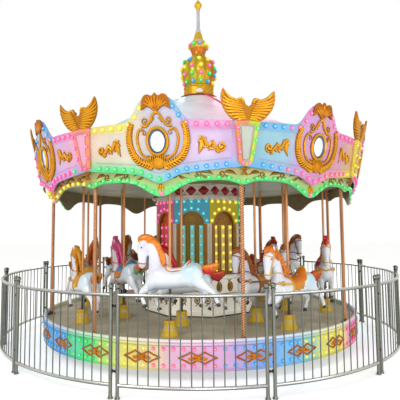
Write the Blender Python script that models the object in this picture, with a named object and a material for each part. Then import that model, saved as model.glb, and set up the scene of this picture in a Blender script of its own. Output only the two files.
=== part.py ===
"""Fairground carousel: sixteen horses on a turntable under a domed canopy, inside a ring fence.

Metres, +Z up. The origin is on the ground under the turntable's axis, and one fence panel
faces -Y. Angles are degrees round the axis, counted from -Y towards +X.
"""
import math

import bmesh
import bpy
from mathutils import Matrix, Vector

GAP = 0.0003
WELD = 0.01
CUT_MARGIN = 0.02
BAYS = 8
BAY_ANGLE = 360.0 / BAYS
RING_SIDES = 48
FLAT_ANGLE = math.radians(0.2)

# Turn of the rotor at rest, as the angle of its first pole
ROTOR_ANGLE = 13.66
HORSE_ANGLE = ROTOR_ANGLE - BAY_ANGLE / 2

# Ring fence
FENCE_PANELS = 12
FENCE_RADIUS = 2.922
FENCE_POST_PITCH = 0.075
FENCE_POST_RADIUS = 0.0185
FENCE_POST_SIDES = 6
FENCE_HEIGHT = 1.10
FENCE_BALL_RADIUS = 0.029
FENCE_RAIL = 0.034
FENCE_TOP_RAIL_Z = 0.985
FENCE_LOW_RAIL_Z = 0.13
FENCE_BARS = 13
FENCE_BAR = 0.013
FENCE_LINK_HEIGHTS = (0.26, 0.88)
FENCE_LINK = 0.022

# Base frame under the turntable
BASE_FOOT_RADIUS = 0.07
BASE_FOOT_HEIGHT = 0.03
BASE_FOOT_INSET = 0.02
BASE_ARM_REACH = 1.95
BASE_ARM_WIDTH = 0.09
BASE_ARM_TOP = 0.13
BASE_ARM_ENTRY = 0.05
BASE_HUB_RADIUS = 0.34
BASE_HUB_TOP = 0.20
PIVOT_RADIUS = 0.10
PIVOT_TOP = 0.34
PIVOT_BORE_RADIUS = 0.104

# Turntable
DECK_TOP = 0.385
DECK_THICKNESS = 0.03
DECK_RADIUS = 2.335
DECK_HUB_RADIUS = 0.32
DECK_RIB_START = 0.15
DECK_RIB_WIDTH = 0.06
DECK_RIB_HEIGHT = 0.09
RIM_THICKNESS = 0.03
RIM_TOP = 0.438
RIM_BOTTOM = 0.112

# Horse rods, their boots on the deck and their holes
ROD_RADIUS = 0.0165
ROD_CLEARANCE = 0.0007
ROD_HOLE_RADIUS = ROD_RADIUS + ROD_CLEARANCE
ROD_SIDES = 6
ROD_BOTTOM = 0.33
ROD_TOP = 2.48
BOOT_SIDES = 8
BOOT_HEIGHT = 0.18
BOOT_BASE_RADIUS = 0.10
BOOT_TOP_RADIUS = 0.062
OUTER_ROW_RADIUS = 1.95
INNER_ROW_RADIUS = 1.34
CRANK_THROW = 0.09
OUTER_CRANK_STEP = 135.0
INNER_CRANK_STEP = 45.0
INNER_CRANK_START = 123.0

# Centre drum
PLINTH_RADIUS = 0.87
PLINTH_TOP = 0.955
PLINTH_LEDGE = 0.03
PLINTH_LEDGE_HEIGHT = 0.035
PLINTH_SKIRTING = 0.05
PLINTH_BEVEL = 0.02
DRUM_RADIUS = 0.70
DRUM_TOP = 2.11
ARCH_WIDTH = 0.37
ARCH_FOOT = 1.01
ARCH_SPRING = 1.72
ARCH_DEPTH = 0.06
ARCH_STEPS = 6
CORNICE_RADIUS = 0.77
CORNICE_LEDGE = 0.025
CORNICE_LIP = 0.03
CORNICE_BEVEL = 0.005

# Poles and canopy
POLE_RADIUS = 0.025
POLE_RING_RADIUS = 2.285
POLE_SIDES = 8
CEILING_BOTTOM = 2.31
CEILING_THICKNESS = 0.025
CANOPY_EDGE_RADIUS = 2.405
VALANCE_RADIUS = 2.325
VALANCE_THICKNESS = 0.018
VALANCE_HEM = 2.165
VALANCE_TONGUE = 0.175
VALANCE_TONGUE_SPREAD = 0.26
VALANCE_LOBE = 0.045
VALANCE_LOBE_SPREAD = 0.12
VALANCE_STEPS = 12

# Rounding boards with their pilasters and wings
BOARD_THICKNESS = 0.022
BOARD_LEAN = 0.2
BOARD_HALF_STATIONS = (0.0, 0.08, 0.16, 0.22, 0.28, 1 / 3, 2 / 3)
BOARD_OVERLAP = 0.08
BOARD_JOINT = 0.01
BOARD_TOP = 2.80
BOARD_CREST = 0.26
BOARD_CREST_SPREAD = 0.27
BOARD_SAG = 0.105
BOARD_TONGUE = 0.07
BOARD_TONGUE_SPREAD = 0.30
PILASTER_TOP_WIDTH = 0.29
PILASTER_BOTTOM_WIDTH = 0.17
PILASTER_DEPTH = 0.035
PILASTER_SUNK = 0.012
PILASTER_FACE_SHARE = 0.8
WING_THICKNESS = 0.03
WING_STANDOFF = 0.008
WING_HALF = (
    (0.0, -0.02), (0.12, -0.015), (0.18, 0.01), (0.23, 0.066), (0.272, 0.154), (0.295, 0.242),
    (0.275, 0.34), (0.235, 0.275), (0.18, 0.236), (0.115, 0.218), (0.06, 0.215), (0.03, 0.185))
WING_NOTCH = 0.14

# Roof and turret
ROOF_WALL_RADIUS = 2.33
ROOF_EAVE_RADIUS = 2.37
ROOF_EAVE_Z = 2.68
ROOF_EAVE_DROP = 0.02
ROOF_TOP_Z = 3.79
ROOF_TOP_RADIUS = 0.31
ROOF_BOW = 1.12
ROOF_SHELL = 0.03
ROOF_SIDES = 24
ROOF_STEPS = 5
TURRET_SIDES = 16
SPIRE_SIDES = 12
ONION_TOP = 4.555
CROWN_TOP = 4.955
SPIRE_TOP = 5.54

# Turret profiles as (radius, drop below the top)
ONION_CURVE = (
    (0.0, 0.0), (0.110, 0.0), (0.135, 0.035), (0.214, 0.09), (0.262, 0.17), (0.284, 0.27), (0.282, 0.36),
    (0.250, 0.46), (0.225, 0.53), (0.240, 0.57))
CROWN_CURVE = (
    (0.0, 0.0), (0.05, 0.0), (0.084, 0.125), (0.10, 0.14), (0.14, 0.21), (0.157, 0.25), (0.128, 0.32),
    (0.115, 0.36))
FINIAL_CURVE = ((0.0, 0.0), (0.018, 0.02), (0.064, 0.10), (0.03, 0.17), (0.022, 0.20))
SPIRE_SOCKET = ((0.027, 0.06), (0.041, 0.05))


def polar(radius, angle, z=0.0):
    """Point at a radius and an angle in degrees, counted from -Y towards +X."""
    turn = math.radians(angle)
    return Vector((radius * math.sin(turn), -radius * math.cos(turn), z))


def clear_scene():
    """Empty the file of objects."""
    for obj in list(bpy.data.objects):
        bpy.data.objects.remove(obj, do_unlink=True)


def make_material(name, color, roughness, metallic=0.0):
    """Principled material from a base colour, a roughness and a metallic value."""
    material = bpy.data.materials.new(name)
    material.use_nodes = True
    shader = material.node_tree.nodes["Principled BSDF"]
    shader.inputs["Base Color"].default_value = (*color, 1.0)
    shader.inputs["Roughness"].default_value = roughness
    shader.inputs["Metallic"].default_value = metallic
    return material


def mesh_from(vertices, faces, name="shape"):
    """Mesh from points and faces, with its faces turned outwards."""
    mesh = bpy.data.meshes.new(name)
    mesh.from_pydata([tuple(v) for v in vertices], [], faces)
    shape = bmesh.new()
    shape.from_mesh(mesh)
    bmesh.ops.recalc_face_normals(shape, faces=shape.faces)
    shape.to_mesh(mesh)
    shape.free()
    return mesh


def loft(rings, name="loft"):
    """Closed skin over rings of points that have equal counts, with flat ends."""
    count = len(rings[0])
    vertices = [point for ring in rings for point in ring]
    faces = [list(range(count))[::-1]]
    for row in range(len(rings) - 1):
        for i in range(count):
            j = (i + 1) % count
            low, high = row * count, (row + 1) * count
            faces.append([low + i, low + j, high + j, high + i])
    last = (len(rings) - 1) * count
    faces.append([last + i for i in range(count)])
    return mesh_from(vertices, faces, name)


def turned(profile, sides, first_angle=0.0, name="turned"):
    """Solid of revolution about Z whose (radius, z) profile starts and ends on the axis."""
    body = profile[1:-1]
    rings = [[polar(r, first_angle + 360.0 * i / sides, z) for i in range(sides)] for r, z in body]
    vertices = [point for ring in rings for point in ring]
    faces = []
    for row in range(len(rings) - 1):
        for i in range(sides):
            j = (i + 1) % sides
            faces.append([row * sides + i, row * sides + j, (row + 1) * sides + j, (row + 1) * sides + i])
    for end, row in ((profile[0], 0), (profile[-1], len(rings) - 1)):
        base = row * sides
        if abs(end[1] - body[0 if row == 0 else -1][1]) < 1e-9:
            faces.append([base + i for i in range(sides)])
            continue
        tip = len(vertices)
        vertices.append(Vector((0, 0, end[1])))
        faces += [[base + i, base + (i + 1) % sides, tip] for i in range(sides)]
    return mesh_from(vertices, faces, name)


def turned_ring(profile, sides, first_angle=0.0, name="ring"):
    """Ring of revolution about Z from a closed (radius, z) profile clear of the axis."""
    points = len(profile)
    vertices = []
    for i in range(sides):
        vertices += [polar(r, first_angle + 360.0 * i / sides, z) for r, z in profile]
    faces = []
    for i in range(sides):
        this, following = i * points, ((i + 1) % sides) * points
        for k in range(points):
            m = (k + 1) % points
            faces.append([this + k, this + m, following + m, following + k])
    return mesh_from(vertices, faces, name)


def prism(outline, z_low, z_high, name="prism"):
    """Upright prism over an outline of (x, y) points."""
    rings = [[Vector((x, y, z)) for x, y in outline] for z in (z_low, z_high)]
    return loft(rings, name)


def polygon(radius, sides, first_angle=0.0):
    """Corners of a regular polygon as (x, y) points."""
    return [tuple(polar(radius, first_angle + 360.0 * i / sides)[:2]) for i in range(sides)]


def box(center, size):
    """Box from its centre and its three sizes."""
    x, y, z = center
    a, b, c = (s / 2 for s in size)
    return prism([(x - a, y - b), (x + a, y - b), (x + a, y + b), (x - a, y + b)], z - c, z + c, "box")


def moved(mesh, matrix):
    """The same mesh after a transform."""
    mesh.transform(matrix)
    return mesh


def turned_to(mesh, angle, radius=0.0, z=0.0):
    """Mesh moved out along -Y to a radius, lifted, and turned to an angle about the axis."""
    spin = Matrix.Rotation(math.radians(angle), 4, "Z")
    return moved(mesh, spin @ Matrix.Translation((0, -radius, z)))


def without_flat_edges(mesh):
    """The same mesh with the edges between faces of one plane dissolved."""
    shape = bmesh.new()
    shape.from_mesh(mesh)
    bmesh.ops.dissolve_limit(shape, angle_limit=FLAT_ANGLE, verts=shape.verts, edges=shape.edges)
    shape.to_mesh(mesh)
    shape.free()
    return mesh


def combined(first, others, operation="UNION"):
    """One mesh from a first mesh and others added to it or cut out of it."""
    body = bpy.data.objects.new("working_body", first)
    bpy.context.scene.collection.objects.link(body)
    tools = []
    for mesh in others:
        tool = bpy.data.objects.new("working_tool", mesh)
        tool.hide_render = True
        tool.display_type = "WIRE"
        bpy.context.scene.collection.objects.link(tool)
        step = body.modifiers.new("step", "BOOLEAN")
        step.operation = operation
        step.solver = "EXACT"
        step.object = tool
        tools.append(tool)
    bpy.context.view_layer.update()
    result = bpy.data.meshes.new_from_object(body.evaluated_get(bpy.context.evaluated_depsgraph_get()))
    for obj in [body] + tools:
        bpy.data.objects.remove(obj, do_unlink=True)
    return without_flat_edges(result)


def place(name, mesh, material, parent=None, location=(0, 0, 0), turn=0.0, smooth=None):
    """Link an object that shows the mesh, with its material, place and turn about Z."""
    mesh.materials.clear()
    mesh.materials.append(material)
    if smooth is not None:
        mesh.shade_smooth()
        mesh.set_sharp_from_angle(angle=math.radians(smooth))
    obj = bpy.data.objects.new(name, mesh)
    bpy.context.scene.collection.objects.link(obj)
    obj.location = location
    obj.rotation_euler = (0, 0, math.radians(turn))
    obj.parent = parent
    return obj


# Ring fence

def fence_post(side):
    """One post with its ball, its flats square to the pair it stands in."""
    half_pair = math.degrees(FENCE_POST_PITCH / 2 / FENCE_RADIUS)
    joint_angle = side * 180.0 / FENCE_PANELS
    first_corner = joint_angle + 90.0 - 180.0 / FENCE_POST_SIDES
    ball_z = FENCE_HEIGHT - FENCE_BALL_RADIUS
    profile = [
        (0, FENCE_HEIGHT), (FENCE_BALL_RADIUS, ball_z), (FENCE_POST_RADIUS, ball_z - 0.04),
        (FENCE_POST_RADIUS, 0), (0, 0)]
    post = turned(profile, FENCE_POST_SIDES, first_corner)
    return moved(post, Matrix.Translation(polar(FENCE_RADIUS, joint_angle - side * half_pair)))


def fence_rail(z):
    """Rail of square section, bent round from one post of a panel to the other."""
    reach = 180.0 / FENCE_PANELS - math.degrees(FENCE_POST_PITCH / 2 / FENCE_RADIUS)
    steps = 4
    half = FENCE_RAIL / 2
    rings = []
    for i in range(steps + 1):
        angle = -reach + 2 * reach * i / steps
        rings.append([
            polar(FENCE_RADIUS - half, angle, z - half), polar(FENCE_RADIUS + half, angle, z - half),
            polar(FENCE_RADIUS + half, angle, z + half), polar(FENCE_RADIUS - half, angle, z + half)])
    return loft(rings)


def fence_links():
    """Spacers from a panel's last post to the face of the next panel's first post."""
    joint_angle = 180.0 / FENCE_PANELS
    face = FENCE_POST_RADIUS * math.cos(math.pi / FENCE_POST_SIDES)
    length = FENCE_POST_PITCH - face - GAP
    links = []
    for z in FENCE_LINK_HEIGHTS:
        link = box((length / 2 - FENCE_POST_PITCH / 2, 0, 0), (length, FENCE_LINK, FENCE_LINK))
        reach = FENCE_RADIUS * math.cos(math.asin(FENCE_POST_PITCH / 2 / FENCE_RADIUS))
        links.append(turned_to(link, joint_angle, reach, z))
    return links


def fence_panel_mesh():
    """Panel with two posts, two rails, its bars and its spacers, centred on -Y."""
    reach = 180.0 / FENCE_PANELS - math.degrees(FENCE_POST_PITCH / 2 / FENCE_RADIUS)
    pieces = [fence_rail(FENCE_TOP_RAIL_Z), fence_post(-1), fence_post(1)] + fence_links()
    height = FENCE_TOP_RAIL_Z - FENCE_LOW_RAIL_Z
    for i in range(FENCE_BARS):
        angle = -reach + 2 * reach * (i + 1) / (FENCE_BARS + 1)
        bar = box((0, 0, 0), (FENCE_BAR, FENCE_BAR, height))
        pieces.append(turned_to(bar, angle, FENCE_RADIUS, FENCE_LOW_RAIL_Z + height / 2))
    return combined(fence_rail(FENCE_LOW_RAIL_Z), pieces)


def build_fence(steel):
    """Twelve equal panels round the ring."""
    panel = fence_panel_mesh()
    for i in range(FENCE_PANELS):
        place(f"fence_panel_{i + 1:02d}", panel, steel, turn=360.0 / FENCE_PANELS * i, smooth=40)


# Base frame

def base_frame_mesh():
    """Hub with a pivot pin and eight arms on round feet."""
    profile = [
        (0, PIVOT_TOP), (PIVOT_RADIUS, PIVOT_TOP), (PIVOT_RADIUS, BASE_HUB_TOP),
        (BASE_HUB_RADIUS, BASE_HUB_TOP), (BASE_HUB_RADIUS, 0), (0, 0)]
    pieces = []
    height = BASE_ARM_TOP - BASE_FOOT_HEIGHT
    length = BASE_ARM_REACH - BASE_HUB_RADIUS + BASE_ARM_ENTRY
    for i in range(BAYS):
        angle = BAY_ANGLE * i
        arm = box((0, length / 2, 0), (BASE_ARM_WIDTH, length, height))
        pieces.append(turned_to(arm, angle, BASE_ARM_REACH, BASE_FOOT_HEIGHT + height / 2))
        foot = prism(polygon(BASE_FOOT_RADIUS, 8), 0, BASE_FOOT_HEIGHT + WELD)
        pieces.append(turned_to(foot, angle, BASE_ARM_REACH - BASE_FOOT_RADIUS - BASE_FOOT_INSET))
    return combined(turned(profile, 16), pieces)


# Turntable

def row_angles():
    """Angles of the eight horses of a row, from the one nearest the front panel."""
    return [HORSE_ANGLE + BAY_ANGLE * i for i in range(BAYS)]


def rod_places():
    """Radius and angle of all sixteen horse rods."""
    return [(radius, angle) for radius in (OUTER_ROW_RADIUS, INNER_ROW_RADIUS) for angle in row_angles()]


def rod_hole(radius, angle, z_low, z_high):
    """Cutter for one rod hole."""
    hole = prism(polygon(ROD_HOLE_RADIUS, ROD_SIDES), z_low, z_high)
    return turned_to(hole, angle, radius)


def deck_mesh():
    """Deck plate with its hub, ribs and the boots that the horse rods slide in."""
    plate_low = DECK_TOP - DECK_THICKNESS
    plate = prism(polygon(DECK_RADIUS - GAP, RING_SIDES, ROTOR_ANGLE), plate_low, DECK_TOP)
    added = [prism(polygon(DECK_HUB_RADIUS, 16), BASE_HUB_TOP + GAP, plate_low + WELD)]
    rib_length = DECK_RADIUS - DECK_RIB_START
    for i in range(BAYS):
        height = DECK_RIB_HEIGHT + WELD
        center = (0, rib_length / 2, WELD - height / 2)
        rib = box(center, (DECK_RIB_WIDTH, rib_length, height))
        added.append(turned_to(rib, ROTOR_ANGLE + BAY_ANGLE * i, rib_length, plate_low))
    top = DECK_TOP + BOOT_HEIGHT
    boot_profile = [
        (0, top), (BOOT_TOP_RADIUS, top), (BOOT_BASE_RADIUS, DECK_TOP - WELD), (0, DECK_TOP - WELD)]
    for radius, angle in rod_places():
        added.append(turned_to(turned(boot_profile, BOOT_SIDES), angle, radius))
    solid = combined(plate, added)
    cuts = [rod_hole(*place, plate_low - CUT_MARGIN, top + CUT_MARGIN) for place in rod_places()]
    cuts.append(prism(polygon(PIVOT_BORE_RADIUS, 16), 0, DECK_TOP + CUT_MARGIN))
    return combined(solid, cuts, "DIFFERENCE")


def rim_mesh():
    """Rim board that stands round the edge of the deck."""
    inner, outer = DECK_RADIUS, DECK_RADIUS + RIM_THICKNESS
    profile = [(inner, RIM_BOTTOM), (outer, RIM_BOTTOM), (outer, RIM_TOP), (inner, RIM_TOP)]
    return turned_ring(profile, RING_SIDES, ROTOR_ANGLE)


# Centre drum

def plinth_mesh():
    """Eight-sided plinth with a projecting ledge."""
    ledge = PLINTH_TOP - PLINTH_LEDGE_HEIGHT
    skirting = DECK_TOP + PLINTH_SKIRTING
    body = PLINTH_RADIUS - PLINTH_LEDGE
    profile = [
        (0, PLINTH_TOP), (PLINTH_RADIUS, PLINTH_TOP), (PLINTH_RADIUS, ledge),
        (body, ledge - PLINTH_BEVEL), (body, skirting + PLINTH_BEVEL), (PLINTH_RADIUS, skirting),
        (PLINTH_RADIUS, DECK_TOP + GAP), (0, DECK_TOP + GAP)]
    return turned(profile, BAYS, ROTOR_ANGLE)


def arch_outline():
    """Half-round arch as (x, z) points."""
    half = ARCH_WIDTH / 2
    points = [(-half, ARCH_FOOT), (half, ARCH_FOOT)]
    for i in range(ARCH_STEPS + 1):
        turn = math.pi * i / ARCH_STEPS
        points.append((half * math.cos(turn), ARCH_SPRING + half * math.sin(turn)))
    return points


def drum_mesh():
    """Eight-sided drum with an arched recess in each face."""
    face = DRUM_RADIUS * math.cos(math.pi / BAYS)
    cuts = []
    for i in range(BAYS):
        rings = [[Vector((x, y, z)) for x, z in arch_outline()] for y in (-ARCH_DEPTH, ARCH_DEPTH)]
        cuts.append(turned_to(loft(rings), HORSE_ANGLE + BAY_ANGLE * i, face))
    drum = prism(polygon(DRUM_RADIUS, BAYS, ROTOR_ANGLE), PLINTH_TOP + GAP, DRUM_TOP)
    return combined(drum, cuts, "DIFFERENCE")


def cornice_mesh():
    """Eight-sided cornice between the drum and the ceiling."""
    low, high = DRUM_TOP + GAP, CEILING_BOTTOM - GAP
    body = CORNICE_RADIUS - CORNICE_LEDGE
    lip, neck = CORNICE_LIP, CORNICE_LIP + CORNICE_BEVEL
    profile = [
        (0, high), (CORNICE_RADIUS, high), (CORNICE_RADIUS, high - lip), (body, high - neck),
        (body, low + neck), (CORNICE_RADIUS, low + lip), (CORNICE_RADIUS, low), (0, low)]
    return turned(profile, BAYS, ROTOR_ANGLE)


# Poles, ceiling and valance

def pole_mesh():
    """Straight round pole from the deck to the ceiling."""
    return prism(polygon(POLE_RADIUS, POLE_SIDES), DECK_TOP + GAP, CEILING_BOTTOM - GAP)


def ceiling_mesh():
    """Ceiling plate with the upper rod holes."""
    top = CEILING_BOTTOM + CEILING_THICKNESS
    plate = prism(polygon(CANOPY_EDGE_RADIUS - GAP, RING_SIDES, ROTOR_ANGLE), CEILING_BOTTOM, top)
    cuts = [rod_hole(*place, CEILING_BOTTOM - CUT_MARGIN, top + CUT_MARGIN) for place in rod_places()]
    return combined(plate, cuts, "DIFFERENCE")


def valance_hem(share):
    """Height of the valance's lower edge at a share of the way across a bay."""
    from_middle = abs(share - 0.5) * 2
    tongue = math.exp(-((from_middle / VALANCE_TONGUE_SPREAD) ** 2))
    lobe = math.exp(-(((1 - from_middle) / VALANCE_LOBE_SPREAD) ** 2))
    return VALANCE_HEM - VALANCE_TONGUE * tongue - VALANCE_LOBE * lobe


def valance_mesh():
    """Scalloped ring that hangs from the ceiling, one tongue to a bay."""
    inner, outer = VALANCE_RADIUS, VALANCE_RADIUS + VALANCE_THICKNESS
    top = CEILING_BOTTOM - GAP
    count = BAYS * VALANCE_STEPS
    vertices = []
    for i in range(count):
        angle = ROTOR_ANGLE + 360.0 * i / count
        hem = valance_hem(i % VALANCE_STEPS / VALANCE_STEPS)
        vertices += [polar(inner, angle, top), polar(outer, angle, top)]
        vertices += [polar(outer, angle, hem), polar(inner, angle, hem)]
    faces = []
    for i in range(count):
        this, following = 4 * i, 4 * ((i + 1) % count)
        for k in range(4):
            m = (k + 1) % 4
            faces.append([this + k, this + m, following + m, following + k])
    return mesh_from(vertices, faces)


# Rounding boards

def board_radius(z):
    """Inner radius of the leaning boards at a height."""
    return CANOPY_EDGE_RADIUS + BOARD_LEAN * (z - CEILING_BOTTOM)


def board_edges(share):
    """Lower and upper edge heights of a board at a share of the way between two poles."""
    from_middle = abs(share - 0.5) * 2
    crest = math.exp(-((from_middle / BOARD_CREST_SPREAD) ** 4))
    tongue = 0.5 + 0.5 * math.cos(math.pi * min(1.0, from_middle / BOARD_TONGUE_SPREAD))
    low = CEILING_BOTTOM - BOARD_SAG * (1 - from_middle) - BOARD_TONGUE * tongue
    return low, BOARD_TOP + BOARD_CREST * crest


def board_stations():
    """Shares of the way from a board's pole to the next, closest together under the crest."""
    half = [(1 - step) / 2 for step in BOARD_HALF_STATIONS]
    return [-BOARD_OVERLAP, 0.0] + half[::-1] + [1 - share for share in half[1:]] + [1 - BOARD_OVERLAP]


def board_panel():
    """Leaning panel of one bay, cut to its crest above and its tongue below."""
    rings = []
    for share in board_stations():
        angle = BAY_ANGLE * share - (BOARD_JOINT if share == 1 - BOARD_OVERLAP else 0.0)
        low, high = board_edges(share % 1.0)
        rings.append([
            polar(board_radius(low) + offset, angle, low) for offset in (0, BOARD_THICKNESS)] + [
            polar(board_radius(high) + offset, angle, high) for offset in (BOARD_THICKNESS, 0)])
    return loft(rings)


def pilaster():
    """Tapered pilaster on the face of a board, over its pole."""
    rings = []
    for z, width in ((CEILING_BOTTOM, PILASTER_BOTTOM_WIDTH), (BOARD_TOP - WELD, PILASTER_TOP_WIDTH)):
        near = board_radius(z) + BOARD_THICKNESS - PILASTER_SUNK
        far = near + PILASTER_DEPTH + PILASTER_SUNK
        back, face = width / 2, width / 2 * PILASTER_FACE_SHARE
        rings.append([
            Vector((-back, -near, z)), Vector((back, -near, z)), Vector((face, -far, z)),
            Vector((-face, -far, z))])
    return loft(rings)


def wings():
    """Pair of raised wings over a pilaster, as one leaning plate."""
    outline = list(WING_HALF) + [(0.0, WING_NOTCH)] + [(-x, z) for x, z in reversed(WING_HALF[1:])]
    rings = []
    for offset in (WING_STANDOFF, WING_STANDOFF + WING_THICKNESS):
        ring = []
        for x, rise in outline:
            z = BOARD_TOP + rise
            ring.append(Vector((x, -board_radius(z) - BOARD_THICKNESS - offset, z)))
        rings.append(ring)
    return loft(rings)


def board_mesh():
    """Board of one bay with the pilaster and wings at its first pole."""
    return combined(board_panel(), [pilaster(), wings()])


# Roof and turret

def roof_curve(share):
    """Radius and height of the dome at a share of the way from its eave to its top."""
    inward = 1 - share
    radius = ROOF_TOP_RADIUS + (ROOF_EAVE_RADIUS - ROOF_TOP_RADIUS) * inward
    return radius, ROOF_TOP_Z - (ROOF_TOP_Z - ROOF_EAVE_Z) * inward ** ROOF_BOW


def roof_mesh():
    """Dome shell on an upright wall that stands on the ceiling."""
    foot = CEILING_BOTTOM + CEILING_THICKNESS + GAP
    soffit = ROOF_EAVE_Z - ROOF_EAVE_DROP
    wall = ROOF_WALL_RADIUS - ROOF_SHELL
    curve = [roof_curve(i / ROOF_STEPS) for i in range(ROOF_STEPS + 1)]
    outside = [(0, ROOF_TOP_Z)] + curve[::-1]
    outside += [(ROOF_EAVE_RADIUS, soffit), (ROOF_WALL_RADIUS, soffit), (ROOF_WALL_RADIUS, foot)]
    inside = [(wall, foot), (wall, soffit)]
    inside += [(r - ROOF_SHELL, z - ROOF_SHELL) for r, z in curve[1:]]
    inside += [(0, ROOF_TOP_Z - ROOF_SHELL)]
    return turned(outside + inside, ROOF_SIDES, ROTOR_ANGLE)


def turret_part(curve, top, foot):
    """Solid of revolution that follows a (radius, drop) curve and runs straight down to its foot."""
    profile = [(radius, top - drop) for radius, drop in curve]
    return turned(profile + [(curve[-1][0], foot), (0, foot)], TURRET_SIDES)


def spire_mesh():
    """Rod with a socket and a finial."""
    foot = CROWN_TOP + GAP
    profile = [(radius, SPIRE_TOP - drop) for radius, drop in FINIAL_CURVE]
    profile += [(radius, foot + rise) for radius, rise in SPIRE_SOCKET]
    profile += [(SPIRE_SOCKET[-1][0], foot), (0, foot)]
    return turned(profile, SPIRE_SIDES)


# Horses

def oval(center, along, half_high, half_wide, sides=8):
    """Ring of points of an oval section square to a direction in the XZ plane."""
    across = Vector((along[0], 0, along[1])).normalized()
    up = Vector((-across.z, 0, across.x))
    ring = []
    for i in range(sides):
        turn = 2 * math.pi * (i + 0.5) / sides
        ring.append(center + up * half_high * math.sin(turn) + Vector((0, half_wide * math.cos(turn), 0)))
    return ring


def limb(stations, y=0.0, sides=8):
    """Loft through stations of (x, z, half height, half width), square to its own run."""
    rings = []
    for i, (x, z, high, wide) in enumerate(stations):
        before, after = stations[max(i - 1, 0)], stations[min(i + 1, len(stations) - 1)]
        along = (after[0] - before[0], after[1] - before[1])
        rings.append(oval(Vector((x, y, z)), along, high, wide, sides))
    return loft(rings)


def horse_mesh():
    """Leaping horse on its rod, facing +X, with the rod's axis at the origin."""
    barrel = limb([
        (0.262, 0.99, 0.075, 0.05), (0.19, 0.97, 0.135, 0.115), (-0.06, 0.945, 0.115, 0.125),
        (-0.31, 0.99, 0.145, 0.13), (-0.39, 1.0, 0.09, 0.07)], sides=6)
    neck_and_mane = limb([
        (0.14, 0.98, 0.13, 0.08), (0.155, 1.14, 0.10, 0.06), (0.185, 1.31, 0.10, 0.045),
        (0.275, 1.41, 0.065, 0.035)], sides=6)
    head = limb([
        (0.27, 1.42, 0.06, 0.03), (0.315, 1.30, 0.075, 0.055), (0.33, 1.12, 0.042, 0.038)], sides=5)
    tail = limb([
        (-0.35, 1.08, 0.025, 0.025), (-0.48, 1.06, 0.045, 0.04), (-0.605, 1.05, 0.06, 0.035)], sides=4)
    foreleg = [(0.15, 0.92, 0.07, 0.05), (0.33, 0.80, 0.032, 0.028), (0.285, 0.64, 0.03, 0.028)]
    tucked = [(0.15, 0.90, 0.07, 0.05), (0.26, 0.77, 0.032, 0.028), (0.09, 0.72, 0.03, 0.028)]
    thrown = [(-0.29, 0.96, 0.09, 0.055), (-0.52, 0.82, 0.034, 0.03), (-0.59, 0.66, 0.03, 0.028)]
    hind = [(-0.28, 0.94, 0.09, 0.055), (-0.41, 0.79, 0.034, 0.03), (-0.36, 0.62, 0.03, 0.028)]
    legs = [limb(foreleg, 0.065, 4), limb(tucked, -0.065, 4), limb(thrown, 0.065, 4), limb(hind, -0.065, 4)]
    rod = prism(polygon(ROD_RADIUS, ROD_SIDES), ROD_BOTTOM, ROD_TOP)
    return combined(barrel, [neck_and_mane, head, tail, rod] + legs)


def build_horses(axis, horse_paint):
    """Two rows of eight horses, each stopped at its own point of the crank's stroke."""
    horse = horse_mesh()
    rows = (
        ("outer_horse", OUTER_ROW_RADIUS, 0.0, OUTER_CRANK_STEP),
        ("inner_horse", INNER_ROW_RADIUS, INNER_CRANK_START, INNER_CRANK_STEP))
    for row, radius, start, step in rows:
        for i, angle in enumerate(row_angles()):
            lift = CRANK_THROW * math.cos(math.radians(start + step * i))
            place(f"{row}_{i + 1}", horse, horse_paint, axis, polar(radius, angle, lift), angle + 180.0, 45)


def main():
    """Build the fixed frame and fence, then everything that turns."""
    clear_scene()
    steel = make_material("stainless_steel", (0.62, 0.63, 0.62), 0.25, 1.0)
    base_paint = make_material("base_paint", (0.20, 0.21, 0.22), 0.6)
    deck_paint = make_material("deck_plate", (0.36, 0.34, 0.28), 0.6)
    rim_paint = make_material("rim_paint", (0.85, 0.70, 0.30), 0.4)
    ivory = make_material("ivory_gloss", (0.85, 0.83, 0.76), 0.35)
    drum_paint = make_material("drum_paint", (0.45, 0.36, 0.10), 0.4)
    cornice_paint = make_material("cornice_paint", (0.35, 0.08, 0.10), 0.4)
    copper = make_material("copper_twist", (0.66, 0.36, 0.20), 0.3, 0.8)
    ceiling_paint = make_material("ceiling_paint", (0.32, 0.27, 0.10), 0.6)
    valance_paint = make_material("valance_paint", (0.70, 0.86, 0.68), 0.4)
    board_paint = make_material("board_paint", (0.86, 0.76, 0.78), 0.35)
    roof_paint = make_material("roof_paint", (0.86, 0.88, 0.90), 0.4)
    gold = make_material("gold_paint", (0.80, 0.50, 0.08), 0.35, 0.5)
    horse_paint = make_material("horse_white", (0.88, 0.89, 0.91), 0.3)

    build_fence(steel)
    place("base_frame", base_frame_mesh(), base_paint)

    axis = bpy.data.objects.new("turntable_axis", None)
    bpy.context.scene.collection.objects.link(axis)
    place("deck", deck_mesh(), deck_paint, axis)
    place("rim_skirt", rim_mesh(), rim_paint, axis)
    place("drum_plinth", plinth_mesh(), ivory, axis)
    place("drum", drum_mesh(), drum_paint, axis)
    place("drum_cornice", cornice_mesh(), cornice_paint, axis)
    place("ceiling", ceiling_mesh(), ceiling_paint, axis)
    place("valance", valance_mesh(), valance_paint, axis)
    pole, board = pole_mesh(), board_mesh()
    for i in range(BAYS):
        angle = ROTOR_ANGLE + BAY_ANGLE * i
        place(f"twisted_pole_{i + 1}", pole, copper, axis, polar(POLE_RING_RADIUS, angle), angle, 40)
        place(f"rounding_board_{i + 1}", board, board_paint, axis, turn=angle)
    place("roof_dome", roof_mesh(), roof_paint, axis, smooth=30)
    onion = turret_part(ONION_CURVE, ONION_TOP, ROOF_TOP_Z + GAP)
    place("turret_onion", onion, gold, axis, smooth=40)
    place("turret_crown", turret_part(CROWN_CURVE, CROWN_TOP, ONION_TOP + GAP), gold, axis, smooth=40)
    place("spire", spire_mesh(), gold, axis, smooth=40)
    build_horses(axis, horse_paint)


main()
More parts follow.
